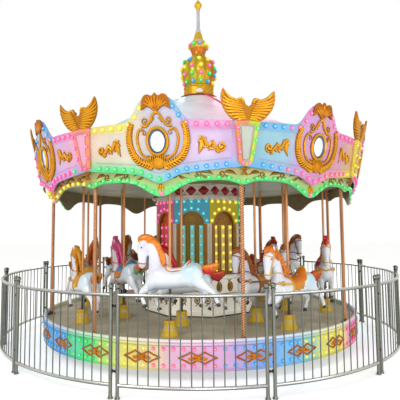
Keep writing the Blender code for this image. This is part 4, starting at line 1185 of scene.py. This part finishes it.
def build_pilasters():
    """Panels in fat rounded borders of two colours, bulbs, bows and wings over the poles."""
    outline = smoothed(both_halves(PILASTER_SIDE), 60, True)
    middle = np.array((0.0, 2.56))
    panel = outline_shape(outline, 0.0, 0.024)
    border = rope(middle + (outline - middle) * (0.8, 0.89), 0.054, 0.03, 10, True).moved(z=0.014)
    bead = rope(middle + (outline - middle) * (0.5, 0.74), 0.008, 0.007, 6, True).moved(z=0.023).painted("a88a78")
    sides = [(side * x, z, 0.04) for side in (-1, 1) for x, z in ((0.11, 2.712), (0.096, 2.585), (0.08, 2.455))]
    spots = np.array(sides + [(-0.036, 2.342, 0.04), (0.036, 2.342, 0.04)])
    panels, borders, glow = [], [], []
    for pole, (left, right, paint, left_paint, right_paint) in zip(POLE_ANGLES, PILASTER_PAINTS):
        lift = on_board(pole)
        panels.append(panel.painted(tone(paint) * 0.8).mapped(lift))
        hue = np.where(border.points[:, :1] < 0, tone(left_paint), tone(right_paint)) * 0.85
        borders += [border.painted(hue).mapped(lift), bead.mapped(lift)]
        names = [left] * 3 + [right] * 3 + [left] * 2
        glow.append(lamps(lift(spots), around(1.0, pole, -0.2), names, 0.022))
    piece("pilaster_panels", panels, "gloss")
    piece("pilaster_borders", borders, "gloss")
    piece("pilaster_lamps", glow, "lamp")
    bow = mirrored(
        leaf((0.0, 2.262), (0.058, 2.288), 0.034, 0.024, 0.2), leaf((0.0, 2.258), (0.056, 2.228), 0.03, 0.02, -0.2),
        leaf((0, 2.25), (0.022, 2.208), 0.02, 0.016))
    bow = joined(bow, boss((0, 2.26), 0.016, 0.018, 0.03, 12, 4)).painted("9a6a12")
    trim = joined(relief_with_painted_shade(mirrored(wing()), "gilt", 0.014, 0.036), bow)
    one_a_bay("wings", trim.mapped(on_board(POLE_ANGLE)))


def roof_curve(share):
    """Radius and height of the roof from its eave to its top: nearly a straight cone, a little full at the eave."""
    inward = 1 - share
    return 0.31 + 2.06 * inward, ROOF_TOP - 1.11 * inward**1.12


ROOF_STOPS = (
    (-80, "a8dcf8"), (-45, "b0e0fa"), (-22, "bfe4fb"), (-8, "d4e6fc"), (3, "e6dcf6"), (13, "f6c8e8"), (24, "fabce2"),
    (48, "f4b4d6"), (75, "ecb4d0"), (110, "c4dcf2"), (150, "f0bedc"), (190, "b8dcf2"), (235, "f0acd2"))


def build_roof():
    """Cone of eight gores, hollowed a little between ridges, with four red seams, a rolled eave and a collar."""
    radius, height = roof_curve(np.linspace(0, 1, 36))
    eave = ((2.3, 2.336), (2.33, 2.336), (2.33, 2.655), (2.374, 2.66), (2.38, 2.67))
    profile = np.r_[eave, np.c_[radius, height], ((0.31, 3.744), (0.29, 3.72))]
    angles = POLE_ANGLE + np.arange(192) * 1.875
    dip = 0.02 * np.abs(np.sin(np.radians(4 * (angles - SEAM_ANGLE))))
    reach = profile[:, :1] * (1 - dip * np.clip((profile[:, 1:] - 2.7) / 0.1, 0, 1))
    shape = tube(around(reach, angles, profile[:, 1:]))
    hue = blended_colour(stop_gaps(angle_of(shape.points), ROOF_STOPS), ROOF_STOPS, softness=5.0)
    piece("roof_gores", shape.painted(hue), "gloss", replaces=["roof_dome"])
    share = np.linspace(0, 0.995, 40)[:, None]
    radius, height = roof_curve(share)
    wide, turn = 0.044 - 0.02 * share, full_turn(8)
    x, lift = wide * np.cos(turn), wide * np.sin(turn)
    seam = tube(np.stack([x, 0.4 * lift - radius, height + 0.8 * lift], -1)).painted("dc3c70")
    collar = ((0.26, 3.792), (0.3, 3.788), (0.325, 3.796), (0.318, 3.818), (0.285, 3.828), (0.26, 3.822))
    collar = hoop(collar, np.arange(64) * 5.625).painted("8c3228")
    piece("roof_ribs", [seam.repeated(SEAM_ANGLE + 90.0 * np.arange(4)), collar], "gloss")


def turret_lamps(rows, shift, radius):
    """Rows of bulbs round the turret: (ring radius, height, tilt, count, turn) with colours that step along each."""
    names = ("green", "yellow", "blue", "pink", "yellow")
    groups = []
    for k, (ring, height, tilt, count, turn) in enumerate(rows):
        angles = turn + 360.0 * np.arange(count) / count
        paints = [names[(2 * j + 3 * k + shift) % 5] for j in range(count)]
        groups.append(lamps(around(ring, angles, height), around(1.0, angles, tilt), paints, radius))
    return groups


def fluting(angle):
    """Twelve narrow grooves round the onion: the cube of a sine's size."""
    return np.abs(np.sin(np.radians((angle - 10) * 6))) ** 3


def beading(angle, share):
    """Twelve low beads round the middle of the crown: a small cosine of the angle."""
    return 1 + 0.02 * np.cos(np.radians((angle - 10) * 12)) * ((share > 0.25) & (share < 0.62))


# Profiles of the turret from its foot up, in radius and height; the foot's heights are counted from the roof
FOOT_PROFILE = ((0.02, -0.002), (0.252, 0.0), (0.255, 0.015), (0.242, 0.03), (0.24, 0.1), (0.24, 0.172),
                (0.25, 0.185), (0.25, 0.2), (0.232, 0.21))
ONION_PROFILE = ((0.228, 4.0), (0.225, 4.025), (0.25, 4.095), (0.28, 4.195), (0.282, 4.285), (0.26, 4.385),
                 (0.212, 4.465), (0.137, 4.518), (0.112, 4.555), (0.1, 4.57))
CROWN_PROFILE = ((0.112, 4.558), (0.117, 4.6), (0.13, 4.635), (0.157, 4.7), (0.142, 4.745), (0.122, 4.785),
                 (0.101, 4.815), (0.086, 4.832), (0.066, 4.9), (0.05, 4.953), (0.02, 4.957))
SHAFT_PROFILE = ((0.041, 4.955), (0.041, 5.0), (0.038, 5.008), (0.029, 5.018), (0.028, 5.2), (0.027, 5.335),
                 (0.022, 5.345))
FINIAL_PROFILE = ((0.018, 5.338), (0.03, 5.345), (0.031, 5.37), (0.05, 5.405), (0.064, 5.44), (0.05, 5.475),
                  (0.03, 5.5), (0.018, 5.52), (0.004, 5.54))


def build_turret():
    """Ribbed onion on a straight foot, lamp-studded crown, lilac-grey shaft and gold finial."""
    bulge = smoothed(ONION_PROFILE, 60)
    onion = lathe(bulge, 96, lambda angle, share: 1 - 0.045 * fluting(angle) * np.sin(np.pi * share))
    turn = angle_of(onion.points)[:, None]
    warm = np.clip((turn - 5) / 70, 0, 1) * (turn < 140)
    # Painted shade: the onion is darkened by up to 35% in its grooves, following the fluting.
    onion = onion.painted(mixed("cdb424", "e0841c", warm) * (1 - 0.35 * fluting(turn)))
    piece("turret_bulge", onion, "gold", replaces=["turret_onion"])
    foot = lathe(smoothed(np.array(FOOT_PROFILE) + (0, ROOF_TOP), 48), 64)
    piece("turret_foot", foot.painted("d0a020"), "gold")
    lift, middle = on_ring(0, 0.2405), ROOF_TOP + 0.1
    ribs = rope(((0.094, ROOF_TOP + 0.04), (0.094, middle), (0.094, ROOF_TOP + 0.165)), 0.016, 0.012, 6)
    ribs = ribs.painted("gilt").mapped(lift).repeated(BAY_TURNS + 4)
    frames = oval_rope((0, middle), 0.068, 0.043, 0.014, 0.012, 24).painted("pale_gilt")
    plates = boss((0, middle), 0.062, 0.036, 0.008, 20, 4).painted("e6e2d8")
    frames, plates = (shape.mapped(lift).repeated(BAY_TURNS[::2] + 4) for shape in (frames, plates))
    piece("turret_trim", [frames, ribs], "gold")
    piece("turret_plates", plates, "gloss")
    crown = lathe(smoothed(CROWN_PROFILE, 64), 48, beading)
    high = crown.points[:, 2:]
    zones = [high < 4.66, high < 4.76, high < 4.82]
    hue = np.select(zones, [tone("c8701e"), tone("d0ac30"), tone("d8c290")], tone("pale_gilt"))
    piece("turret_cap", crown.painted(hue), "gold", replaces=["turret_crown"])
    shaft = lathe(SHAFT_PROFILE, 24).painted("b4b4c0")
    piece("spire_shaft", shaft, "gloss", replaces=["spire"])
    piece("spire_finial", lathe(smoothed(FINIAL_PROFILE, 36), 24).painted("pale_gilt"), "gold")
    rows = ((0.238, 4.055, -0.2, 12, 10), (0.276, 4.175, -0.1, 12, 10), (0.28, 4.3, 0.2, 12, 10),
            (0.245, 4.42, 0.6, 10, 4))
    groups = turret_lamps(rows, 0, 0.037) + turret_lamps(((0.157, 4.712, 0.3, 10, 10),), 2, 0.032)
    piece("turret_lamps", groups, "lamp")


# Horses: local frame with +x the way they face, y outward and z up from the ground at the middle of the stroke
BARREL = (
    (0.268, 1.0, 0.045, 0.04), (0.245, 0.99, 0.105, 0.08), (0.18, 0.972, 0.14, 0.117), (0.09, 0.965, 0.137, 0.128),
    (-0.03, 0.952, 0.112, 0.124), (-0.14, 0.965, 0.113, 0.122), (-0.24, 0.995, 0.145, 0.132),
    (-0.32, 1.015, 0.135, 0.125), (-0.372, 1.02, 0.1, 0.092), (-0.4, 1.02, 0.045, 0.045))
NECK = (
    (0.165, 0.97, 0.12, 0.1), (0.175, 1.08, 0.088, 0.078), (0.187, 1.17, 0.072, 0.06), (0.2, 1.26, 0.064, 0.05),
    (0.228, 1.345, 0.062, 0.046), (0.262, 1.395, 0.045, 0.038))
HEAD = (
    (0.268, 1.405, 0.038, 0.036), (0.3, 1.372, 0.074, 0.058), (0.323, 1.318, 0.08, 0.062),
    (0.336, 1.25, 0.066, 0.05), (0.341, 1.185, 0.052, 0.04), (0.341, 1.13, 0.05, 0.04),
    (0.334, 1.098, 0.04, 0.035), (0.325, 1.08, 0.018, 0.018))
EAR = ((0.275, 1.405, 0.018, 0.014), (0.268, 1.45, 0.019, 0.013), (0.273, 1.488, 0.007, 0.006))
CHEEK = ((0.274, 1.37, 0.03, 0.02), (0.287, 1.33, 0.05, 0.026), (0.304, 1.28, 0.03, 0.018))
HAUNCH = ((-0.2, 1.04, 0.06, 0.05), (-0.29, 1.02, 0.11, 0.065), (-0.37, 0.96, 0.07, 0.05))
# Near and far fore leg, then near and far hind leg: side, and stations from the body down
LEGS = (
    (0.066, (
        (0.17, 0.95, 0.085, 0.055), (0.245, 0.865, 0.058, 0.044), (0.328, 0.802, 0.033, 0.03),
        (0.322, 0.745, 0.022, 0.022), (0.303, 0.69, 0.026, 0.024), (0.293, 0.665, 0.021, 0.021),
        (0.286, 0.645, 0.031, 0.029), (0.281, 0.628, 0.034, 0.031))),
    (-0.066, (
        (0.16, 0.94, 0.085, 0.055), (0.215, 0.84, 0.052, 0.042), (0.262, 0.772, 0.033, 0.03),
        (0.205, 0.757, 0.022, 0.022), (0.145, 0.748, 0.025, 0.024), (0.122, 0.738, 0.021, 0.021),
        (0.1, 0.725, 0.03, 0.029), (0.084, 0.714, 0.033, 0.031))),
    (0.066, (
        (-0.3, 0.99, 0.1, 0.06), (-0.385, 0.91, 0.068, 0.05), (-0.47, 0.85, 0.042, 0.034),
        (-0.525, 0.815, 0.033, 0.028), (-0.555, 0.755, 0.023, 0.022), (-0.575, 0.705, 0.026, 0.024),
        (-0.585, 0.68, 0.022, 0.021), (-0.592, 0.655, 0.032, 0.03))),
    (-0.066, (
        (-0.27, 0.97, 0.1, 0.06), (-0.33, 0.88, 0.066, 0.05), (-0.39, 0.82, 0.042, 0.034),
        (-0.415, 0.785, 0.033, 0.028), (-0.395, 0.73, 0.023, 0.022), (-0.375, 0.675, 0.026, 0.024),
        (-0.366, 0.65, 0.022, 0.021), (-0.358, 0.622, 0.032, 0.03))),
)
# Middle of each hoof in x and height
HOOVES = ((0.283, 0.636), (0.092, 0.719), (-0.589, 0.667), (-0.361, 0.634))
# Soft tints of the skin: x, height, reach, strength and paint
TINTS = (
    (-0.27, 1.08, 0.14, 0.6, "a8daf2"), (0.3, 1.33, 0.07, 0.55, "cdb8ea"), (0.19, 1.12, 0.12, 0.4, "d2c4ee"),
    (0.332, 1.115, 0.024, 0.6, "c08a86"))


def limb(stations, count, sides=20, side=0.0):
    """A tube through stations of (x, z, half across, half wide): oval rings square to the smoothed run in x-z."""
    run = smoothed(stations, count)
    along = unit(np.gradient(run[:, :2], axis=0))
    turn = full_turn(sides)
    across = run[:, 2:3] * np.sin(turn)
    x, z = run[:, :1] - along[:, 1:] * across, run[:, 1:2] + along[:, :1] * across
    return tube(np.stack([x, side + run[:, 3:4] * np.cos(turn), z], -1))


def lock(stations, side, wide, drift=0.0):
    """A tapering lock of hair: a tube whose side position drifts outward along its run."""
    thickest = max(row[2] for row in stations)
    stations = [(x, z, half, wide * (0.35 + 0.65 * half / thickest)) for x, z, half in stations]
    start, end = stations[0][0], stations[-1][0]

    def drifted(points):
        """Points shifted sideways by their share of the run."""
        return points + np.clip((points[:, :1] - start) / (end - start + 1e-9), 0, 1) * (0, drift, 0)

    return limb(stations, 14, 8, side).mapped(drifted)


def fused(shapes, voxel, smoothing):
    """Overlapping closed shapes made one skin by a voxel remesh and a few smoothing passes."""
    holder = bpy.data.objects.new("fused", closed_mesh("fused", joined(shapes)))
    bpy.context.scene.collection.objects.link(holder)
    remesh = holder.modifiers.new("skin", "REMESH")
    remesh.mode, remesh.voxel_size = "VOXEL", voxel
    smooth = holder.modifiers.new("soften", "SMOOTH")
    smooth.factor, smooth.iterations = 0.5, smoothing
    bpy.context.view_layer.update()
    skin = holder.evaluated_get(bpy.context.evaluated_depsgraph_get()).to_mesh()
    points = np.zeros(len(skin.vertices) * 3)
    skin.vertices.foreach_get("co", points)
    corners = np.zeros(len(skin.loops), int)
    skin.loops.foreach_get("vertex_index", corners)
    bpy.data.objects.remove(holder)
    return Shape(points.reshape(-1, 3), [corners.reshape(-1, 4)])


def horse_skin(ears):
    """The body, neck, head and legs in one skin, painted white with soft tints, a belly darkened grey-blue as painted
    shade, and dark hooves.
    """
    parts = [limb(BARREL, 44, 28), limb(NECK, 30, 24), limb(HEAD, 34)]
    parts += [limb(stations, 34, 16, side) for side, stations in LEGS]
    for side in (-1, 1):
        parts += [limb(CHEEK, 12, 12, side * 0.034), limb(HAUNCH, 14, 16, side * 0.07)]
        if ears:
            parts.append(limb(EAR, 12, 10, side * 0.036))
    skin = fused(parts, voxel=0.009, smoothing=4)
    x, z = skin.points[:, :1], skin.points[:, 2:]
    layers = [(strength * np.exp(-((x - cx) ** 2 + (z - cz) ** 2) / reach**2), paint)
              for cx, cz, reach, strength, paint in TINTS]
    # Painted shade: a grey-blue darkening under the belly.
    layers.append((np.clip((0.93 - z) / 0.09, 0, 1) * (np.abs(x) < 0.24) * 0.6, "7f92a8"))
    layers += [(np.clip((0.036 - np.hypot(x - cx, z - cz)) / 0.006, 0, 1), "26261c") for cx, cz in HOOVES]
    hue = np.broadcast_to(tone("ivory"), skin.points.shape)
    for share, paint in layers:
        hue = mixed(hue, paint, share)
    return skin.painted(hue)


# For each horse: mane kind, mane, upper and lower tail, saddle, straps, flap and rosette (or none)
HORSE_STYLES = {
    "outer_horse_1": ("smooth", "ee8a22", "ee8a22", "cc2018", "e9edf4", "d0661c", "", ""),
    "outer_horse_2": ("wavy", "dd7a1e", "cf641a", "b44c14", "d9761c", "dcae2c", "d98a24", "c8a02c"),
    "outer_horse_3": ("crest", "d63a1c", "d8542a", "b02020", "c9306a", "d8a028", "d04a7c", "d8b040"),
    "outer_horse_4": ("wavy", "a8601f", "a05a20", "7c4018", "c88a34", "8c5018", "a8642a", "c8a040"),
    "outer_horse_5": ("wavy", "cc741a", "bc6218", "984412", "c89048", "a85618", "b86a2c", "c8a040"),
    "outer_horse_6": ("wavy", "98501e", "98501e", "6c3014", "c88430", "7c4018", "98582a", "c8a040"),
    "outer_horse_7": ("crest", "cc601a", "cc601a", "a04014", "b03a58", "cc9424", "b04868", "d8b040"),
    "outer_horse_8": ("wavy", "d08e20", "cc8820", "a86218", "d89c24", "c08420", "cc9028", "e0c050"),
    "inner_horse_1": ("smooth", "bc0c14", "c8441c", "a41414", "e9e0e6", "b84418", "", ""),
    "inner_horse_2": ("wavy", "a85c20", "a05220", "7c3a1c", "c88c3c", "8c4c1c", "a0602c", "c8a040"),
    "inner_horse_3": ("wavy", "bc6c20", "a85c1c", "804018", "c89a50", "985418", "a8642c", "c8a040"),
    "inner_horse_4": ("crest", "b43e1c", "a85424", "7c3018", "a83c4c", "bc8c2c", "a04858", "c8a040"),
    "inner_horse_5": ("wavy", "c27c2a", "b06c22", "8c4a18", "c89a58", "a0601c", "b0702c", "c8a040"),
    "inner_horse_6": ("smooth", "a84e18", "a84e18", "7c3014", "dcd4c8", "984818", "", ""),
    "inner_horse_7": ("wavy", "bc7420", "a86020", "7c4018", "c8983c", "8c501c", "a0642c", "c8a040"),
    "inner_horse_8": ("crest", "e05c94", "dc6c30", "3ca860", "3c94bc", "e0742c", "d8702c", "3cb070"),
}
# Rolled mane from forelock to withers: x, height and half thickness
ROLL = (
    (0.38, 1.392, 0.02), (0.354, 1.424, 0.054), (0.3, 1.432, 0.064), (0.251, 1.414, 0.068), (0.18, 1.374, 0.054),
    (0.131, 1.295, 0.042), (0.095, 1.23, 0.04), (0.079, 1.153, 0.036), (0.086, 1.108, 0.014))
PLUME = ((0.31, 1.44, 0.016), (0.315, 1.485, 0.027), (0.3, 1.515, 0.02), (0.28, 1.525, 0.006))
TAIL_TIPS = ((-0.572, 1.14), (-0.572, 1.105), (-0.552, 1.068), (-0.52, 1.036), (-0.476, 1.012))


def mane_and_tail(style):
    """A rolled or locked mane over the poll and along the neck, and a blunt tail that fans from its root."""
    kind, mane, upper, lower = style[:4]
    locks = [limb([(x, z - 0.008, half, half * 0.7) for x, z, half in ROLL], 52, 14)]
    rooted = smoothed([row[:2] for row in ROLL[2:8]], 10) if kind != "smooth" else ()
    for k, (x, z) in enumerate(rooted):
        drop, sweep = 0.085 + 0.02 * (k % 3), 0.06 + 0.015 * ((k + 1) % 2)
        stations = ((x + 0.016, z + 0.014, 0.018), (x + 0.006, z - drop * 0.35, 0.027),
                    (x - sweep * 0.5, z - drop * 0.7, 0.023), (x - sweep, z - drop * 0.72, 0.007))
        for side in (-1, 1):
            locks.append(lock(stations, side * (0.038 + 0.004 * (k % 2)), 0.018, side * 0.022))
    if kind == "crest":
        locks += [lock(PLUME, side, 0.02) for side in (-0.022, 0.0, 0.022)]
    tail = []
    for k, (x, z) in enumerate(TAIL_TIPS):
        stations = ((-0.375, 1.085, 0.02), (-0.44, 1.095 - 0.012 * k, 0.03),
                    ((x - 0.44) / 2 - 0.03, (z + 1.08) / 2, 0.036), (x, z, 0.018))
        hue = mixed(upper, lower, k / (len(TAIL_TIPS) - 1)) * (1.0 - 0.25 * (k % 2))
        tail += [lock(stations, side, 0.024, side * 0.9).painted(hue) for side in (-0.02, 0.02)]
    return joined(joined(locks).painted(mane), tail)


def barrel_patch(start, end, spread, lift, rows=26, columns=34, narrow=0.0):
    """A pad on the horse's back: it follows the barrel's oval from side to side at a lift above, thin at its edge."""
    u = np.linspace(-1, 1, rows)[:, None]
    v = np.linspace(-1, 1, columns)[None, :]
    middle = (start + end) / 2
    x = middle + (np.linspace(start, end, rows)[:, None] - middle) * (1 - narrow * v**2)
    stations = np.array(sorted(BARREL))
    centre, high, wide = (np.interp(x, stations[:, 0], stations[:, k]) for k in (1, 2, 3))
    turn = v * np.radians(spread)
    edge = np.minimum(1, 6 * np.minimum(1 - np.abs(v), 1 - np.abs(u)))
    reach = lift * np.sqrt(np.maximum(edge, 0)) + 0.002

    def layer(rise):
        """The patch at a rise above the barrel."""
        return np.stack([x + 0 * turn, (wide + rise) * np.sin(turn), centre + (high + rise) * np.cos(turn)], -1)

    return layer(reach), layer(-0.012)


def closed_patch(outer, inner):
    """Two matching grids joined round their edge into one closed shell."""
    return tube(np.concatenate([outer, inner[:, ::-1]], 1))


def head_strap(x, z, half_deep, half_wide, tip):
    """A strap round the head: a cord on an ellipse that rises by tip towards the front."""
    turn = full_turn(40)
    return cable(np.stack([x + half_deep * np.cos(turn), half_wide * np.sin(turn), z + tip * np.cos(turn)], -1), 0.007)


# Cheek strap, rein and breast strap of one side: run, points along it and radius
STRAPS = (
    (((0.297, 0.06, 1.4), (0.308, 0.064, 1.33), (0.324, 0.052, 1.25), (0.34, 0.046, 1.14)), 16, 0.009),
    (((0.34, 0.048, 1.14), (0.25, 0.08, 1.16), (0.15, 0.094, 1.14), (0.07, 0.05, 1.135)), 20, 0.006),
    (((0.06, 0.13, 1.02), (0.16, 0.13, 1.02), (0.235, 0.098, 1.035), (0.272, 0.032, 1.02), (0.276, 0.0, 1.01)),
     22, 0.011),
)
# Place and outward direction of the near rosettes and the near eye
ROSETTES = (((0.2, 0.12, 1.03), (0.3, 1.0, 0.1)), ((-0.06, 0.128, 0.955), (0.0, 1.0, -0.15)))
EYE = (((0.334, 0.059, 1.325), (0.25, 1.0, 0.1)),)


def on_both_sides(shape, spots, paint):
    """A copy of a shape at each spot on the near side and at its mirror image."""
    places, ways = (np.array([np.array(spot[k]) * (1, side, 1) for side in (-1, 1) for spot in spots]) for k in (0, 1))
    return shape.studded(places, unit(ways), tone(paint))


def tack(style):
    """Saddle with a raised cantle and piped edge, nose strap and eyes; a dressed horse has flap, girth and straps."""
    seat, trim, flap, badge = style[4:]
    outer, inner = barrel_patch(0.055, -0.24, 62 if flap else 34, 0.014, narrow=0.25)
    bow = np.cos(np.linspace(-1, 1, outer.shape[1]) * 1.5)[None, :]
    cantle = np.clip((-outer[..., 0] - 0.15) / 0.09, 0, 1) ** 1.5 * (0.065 if flap else 0.045)
    pommel = np.clip((outer[..., 0] - 0.01) / 0.04, 0, 1) ** 1.5 * 0.03
    outer = outer + ((cantle + pommel) * bow)[..., None] * (-0.35, 0, 1)
    edge = np.concatenate([outer[0], outer[1:, -1], outer[-1, ::-1][1:], outer[::-1, 0][1:-1]])
    shapes = [closed_patch(outer, inner).painted(seat), cable(edge, 0.008).painted(trim)]
    straps = [head_strap(0.341, 1.135, 0.056, 0.044, 0.003)]
    if flap:
        shapes.append(closed_patch(*barrel_patch(0.065, -0.2, 100, 0.01, narrow=0.45)).painted(flap))
        shapes.append(closed_patch(*barrel_patch(0.045, 0.01, 178, 0.008, 6, 48)).painted(trim))
        straps.append(head_strap(0.312, 1.345, 0.078, 0.066, 0.024))
        for side in (-1, 1):
            for run, count, radius in STRAPS:
                straps.append(cable(smoothed(np.array(run) * (1, side, 1), count), radius, False))
        shapes.append(on_both_sides(boss((0, 0), 0.026, 0.032, 0.016, 16, 4), ROSETTES, badge))
    eyes = on_both_sides(boss((0, 0), 0.012, 0.01, 0.008, 12, 4), EYE, "14100c")
    return joined(shapes, joined(straps).painted(trim), eyes)


def cable(path, radius, closed=True):
    """A thin round cord: rings square to a path in space, their frame taken from the path and the upright."""
    along = unit(np.roll(path, -1, 0) - np.roll(path, 1, 0) if closed else np.gradient(path, axis=0))
    side = unit(np.cross(along, (0.13, 0.31, 0.94)))
    other = np.cross(along, side)
    turn = full_turn(6)[:, None]
    return tube(path[:, None] + radius * (side[:, None] * np.cos(turn) + other[:, None] * np.sin(turn)), closed)


# Rows of horses: name, radius, and the crank's angle at the first horse and its step to the next
HORSE_ROWS = (("outer_horse", OUTER_ROW, 0.0, 135.0), ("inner_horse", INNER_ROW, 123.0, 45.0))


def build_horses():
    """Sixteen horses in two rows, each with mane, tack and rod, at its own point of the stroke."""
    skins = {"smooth": horse_skin(False)}
    skins["wavy"] = skins["crest"] = horse_skin(True)
    rod = lathe(((0.0165, 0.33), (0.0165, 0.86), (0.0165, 1.05), (0.0165, 2.48)), 14)
    rod = rod.painted(np.where(rod.points[:, 2:] < 1.0, tone("3a3a38"), tone("copper")))
    collar = lathe(((0.026, 1.055), (0.03, 1.065), (0.03, 1.085), (0.022, 1.1)), 16).painted("pale_gilt")
    for row, radius, first, step in HORSE_ROWS:
        for i, angle in enumerate(BAY_ANGLES):
            node = f"{row}_{i + 1}"
            style = HORSE_STYLES[node]
            place = around(radius, angle, CRANK_THROW * math.cos(math.radians(first + step * i)))
            for part, shape, paint, slot, smooth in (
                ("skin", skins[style[0]], "ivory", "horse_white", 80),
                ("hair", mane_and_tail(style), "hair", "horse_white", 70),
                ("tack", tack(style), "satin", "gold_paint", 50),
                ("rod", joined(rod, collar), "copper", "copper_twist", 40),
            ):
                shape = shape.spun(angle + 180.0).moved(*place)
                replaces = [node] if part == "skin" else ()
                piece(f"{node}_{part}", shape, paint, f"{node}_body", smooth, replaces)


class CAROUSEL_OT_stage(bpy.types.Operator):
    """Add the floor, the lights and the camera"""

    bl_idname = "carousel.stage"
    bl_label = "Stage"

    def execute(self, context):
        build_stage(context.scene)
        return {"FINISHED"}


class CAROUSEL_OT_fence(bpy.types.Operator):
    """Build the twelve fence panels"""

    bl_idname = "carousel.fence"
    bl_label = "Fence"

    def execute(self, context):
        build_fence()
        return {"FINISHED"}


class CAROUSEL_OT_deck(bpy.types.Operator):
    """Dress the floor and build the rod boots"""

    bl_idname = "carousel.deck"
    bl_label = "Deck and boots"

    def execute(self, context):
        build_deck()
        return {"FINISHED"}


class CAROUSEL_OT_rim(bpy.types.Operator):
    """Build the rim board with its lamps and diamonds"""

    bl_idname = "carousel.rim"
    bl_label = "Rim board"

    def execute(self, context):
        build_rim()
        return {"FINISHED"}


class CAROUSEL_OT_drum(bpy.types.Operator):
    """Build the faces, cornice facets and plinth ornaments of the centre drum"""

    bl_idname = "carousel.drum"
    bl_label = "Centre drum"

    def execute(self, context):
        build_drum()
        return {"FINISHED"}


class CAROUSEL_OT_poles(bpy.types.Operator):
    """Build the eight twisted poles"""

    bl_idname = "carousel.poles"
    bl_label = "Twisted poles"

    def execute(self, context):
        build_poles()
        return {"FINISHED"}


class CAROUSEL_OT_canopy(bpy.types.Operator):
    """Build the valance, its lamps and the scrolls under the boards"""

    bl_idname = "carousel.canopy"
    bl_label = "Ceiling and valance"

    def execute(self, context):
        build_canopy()
        return {"FINISHED"}


class CAROUSEL_OT_boards(bpy.types.Operator):
    """Build the leaning boards"""

    bl_idname = "carousel.boards"
    bl_label = "Rounding boards"

    def execute(self, context):
        build_boards()
        return {"FINISHED"}


class CAROUSEL_OT_board_ornaments(bpy.types.Operator):
    """Build the cartouches, mirrors, crests and lamps of the boards"""

    bl_idname = "carousel.board_ornaments"
    bl_label = "Board ornaments"

    def execute(self, context):
        build_board_ornaments()
        return {"FINISHED"}


class CAROUSEL_OT_pilasters(bpy.types.Operator):
    """Build the pilasters with their bows and wings"""

    bl_idname = "carousel.pilasters"
    bl_label = "Pilasters and wings"

    def execute(self, context):
        build_pilasters()
        return {"FINISHED"}


class CAROUSEL_OT_roof(bpy.types.Operator):
    """Build the gores, seams and collar of the roof"""

    bl_idname = "carousel.roof"
    bl_label = "Roof"

    def execute(self, context):
        build_roof()
        return {"FINISHED"}


class CAROUSEL_OT_turret(bpy.types.Operator):
    """Build the onion on its foot, the crown, shaft and finial"""

    bl_idname = "carousel.turret"
    bl_label = "Turret"

    def execute(self, context):
        build_turret()
        return {"FINISHED"}


class CAROUSEL_OT_horses(bpy.types.Operator):
    """Build the sixteen horses with their rods"""

    bl_idname = "carousel.horses"
    bl_label = "Horses"

    def execute(self, context):
        build_horses()
        return {"FINISHED"}


OPERATORS = (
    CAROUSEL_OT_stage, CAROUSEL_OT_fence, CAROUSEL_OT_deck, CAROUSEL_OT_rim, CAROUSEL_OT_drum, CAROUSEL_OT_poles,
    CAROUSEL_OT_canopy, CAROUSEL_OT_boards, CAROUSEL_OT_board_ornaments, CAROUSEL_OT_pilasters, CAROUSEL_OT_roof,
    CAROUSEL_OT_turret, CAROUSEL_OT_horses)


class CAROUSEL_PT_panel(bpy.types.Panel):
    """Lists the pieces of the carousel and its settings"""

    bl_idname = "CAROUSEL_PT_panel"
    bl_label = "Fairground carousel"
    bl_space_type = "VIEW_3D"
    bl_region_type = "UI"
    bl_category = "Carousel"

    def draw(self, context):
        for step in OPERATORS:
            self.layout.operator(step.bl_idname)
        for group in (context.scene.carousel_sizes, context.scene.carousel_paints):
            for name in type(group).__annotations__:
                self.layout.prop(group, name)


CLASSES = (CarouselPaints, CarouselSizes, *OPERATORS, CAROUSEL_PT_panel)


def register():
    """Register the settings, operators and panel."""
    for item in CLASSES:
        bpy.utils.register_class(item)
    bpy.types.Scene.carousel_paints = bpy.props.PointerProperty(type=CarouselPaints)
    bpy.types.Scene.carousel_sizes = bpy.props.PointerProperty(type=CarouselSizes)


def unregister():
    """Take them out again."""
    del bpy.types.Scene.carousel_sizes
    del bpy.types.Scene.carousel_paints
    for item in reversed(CLASSES):
        bpy.utils.unregister_class(item)


def main():
    register()
    for step in OPERATORS:
        getattr(bpy.ops.carousel, step.bl_idname.split(".")[1])()


if __name__ == "__main__":
    main()
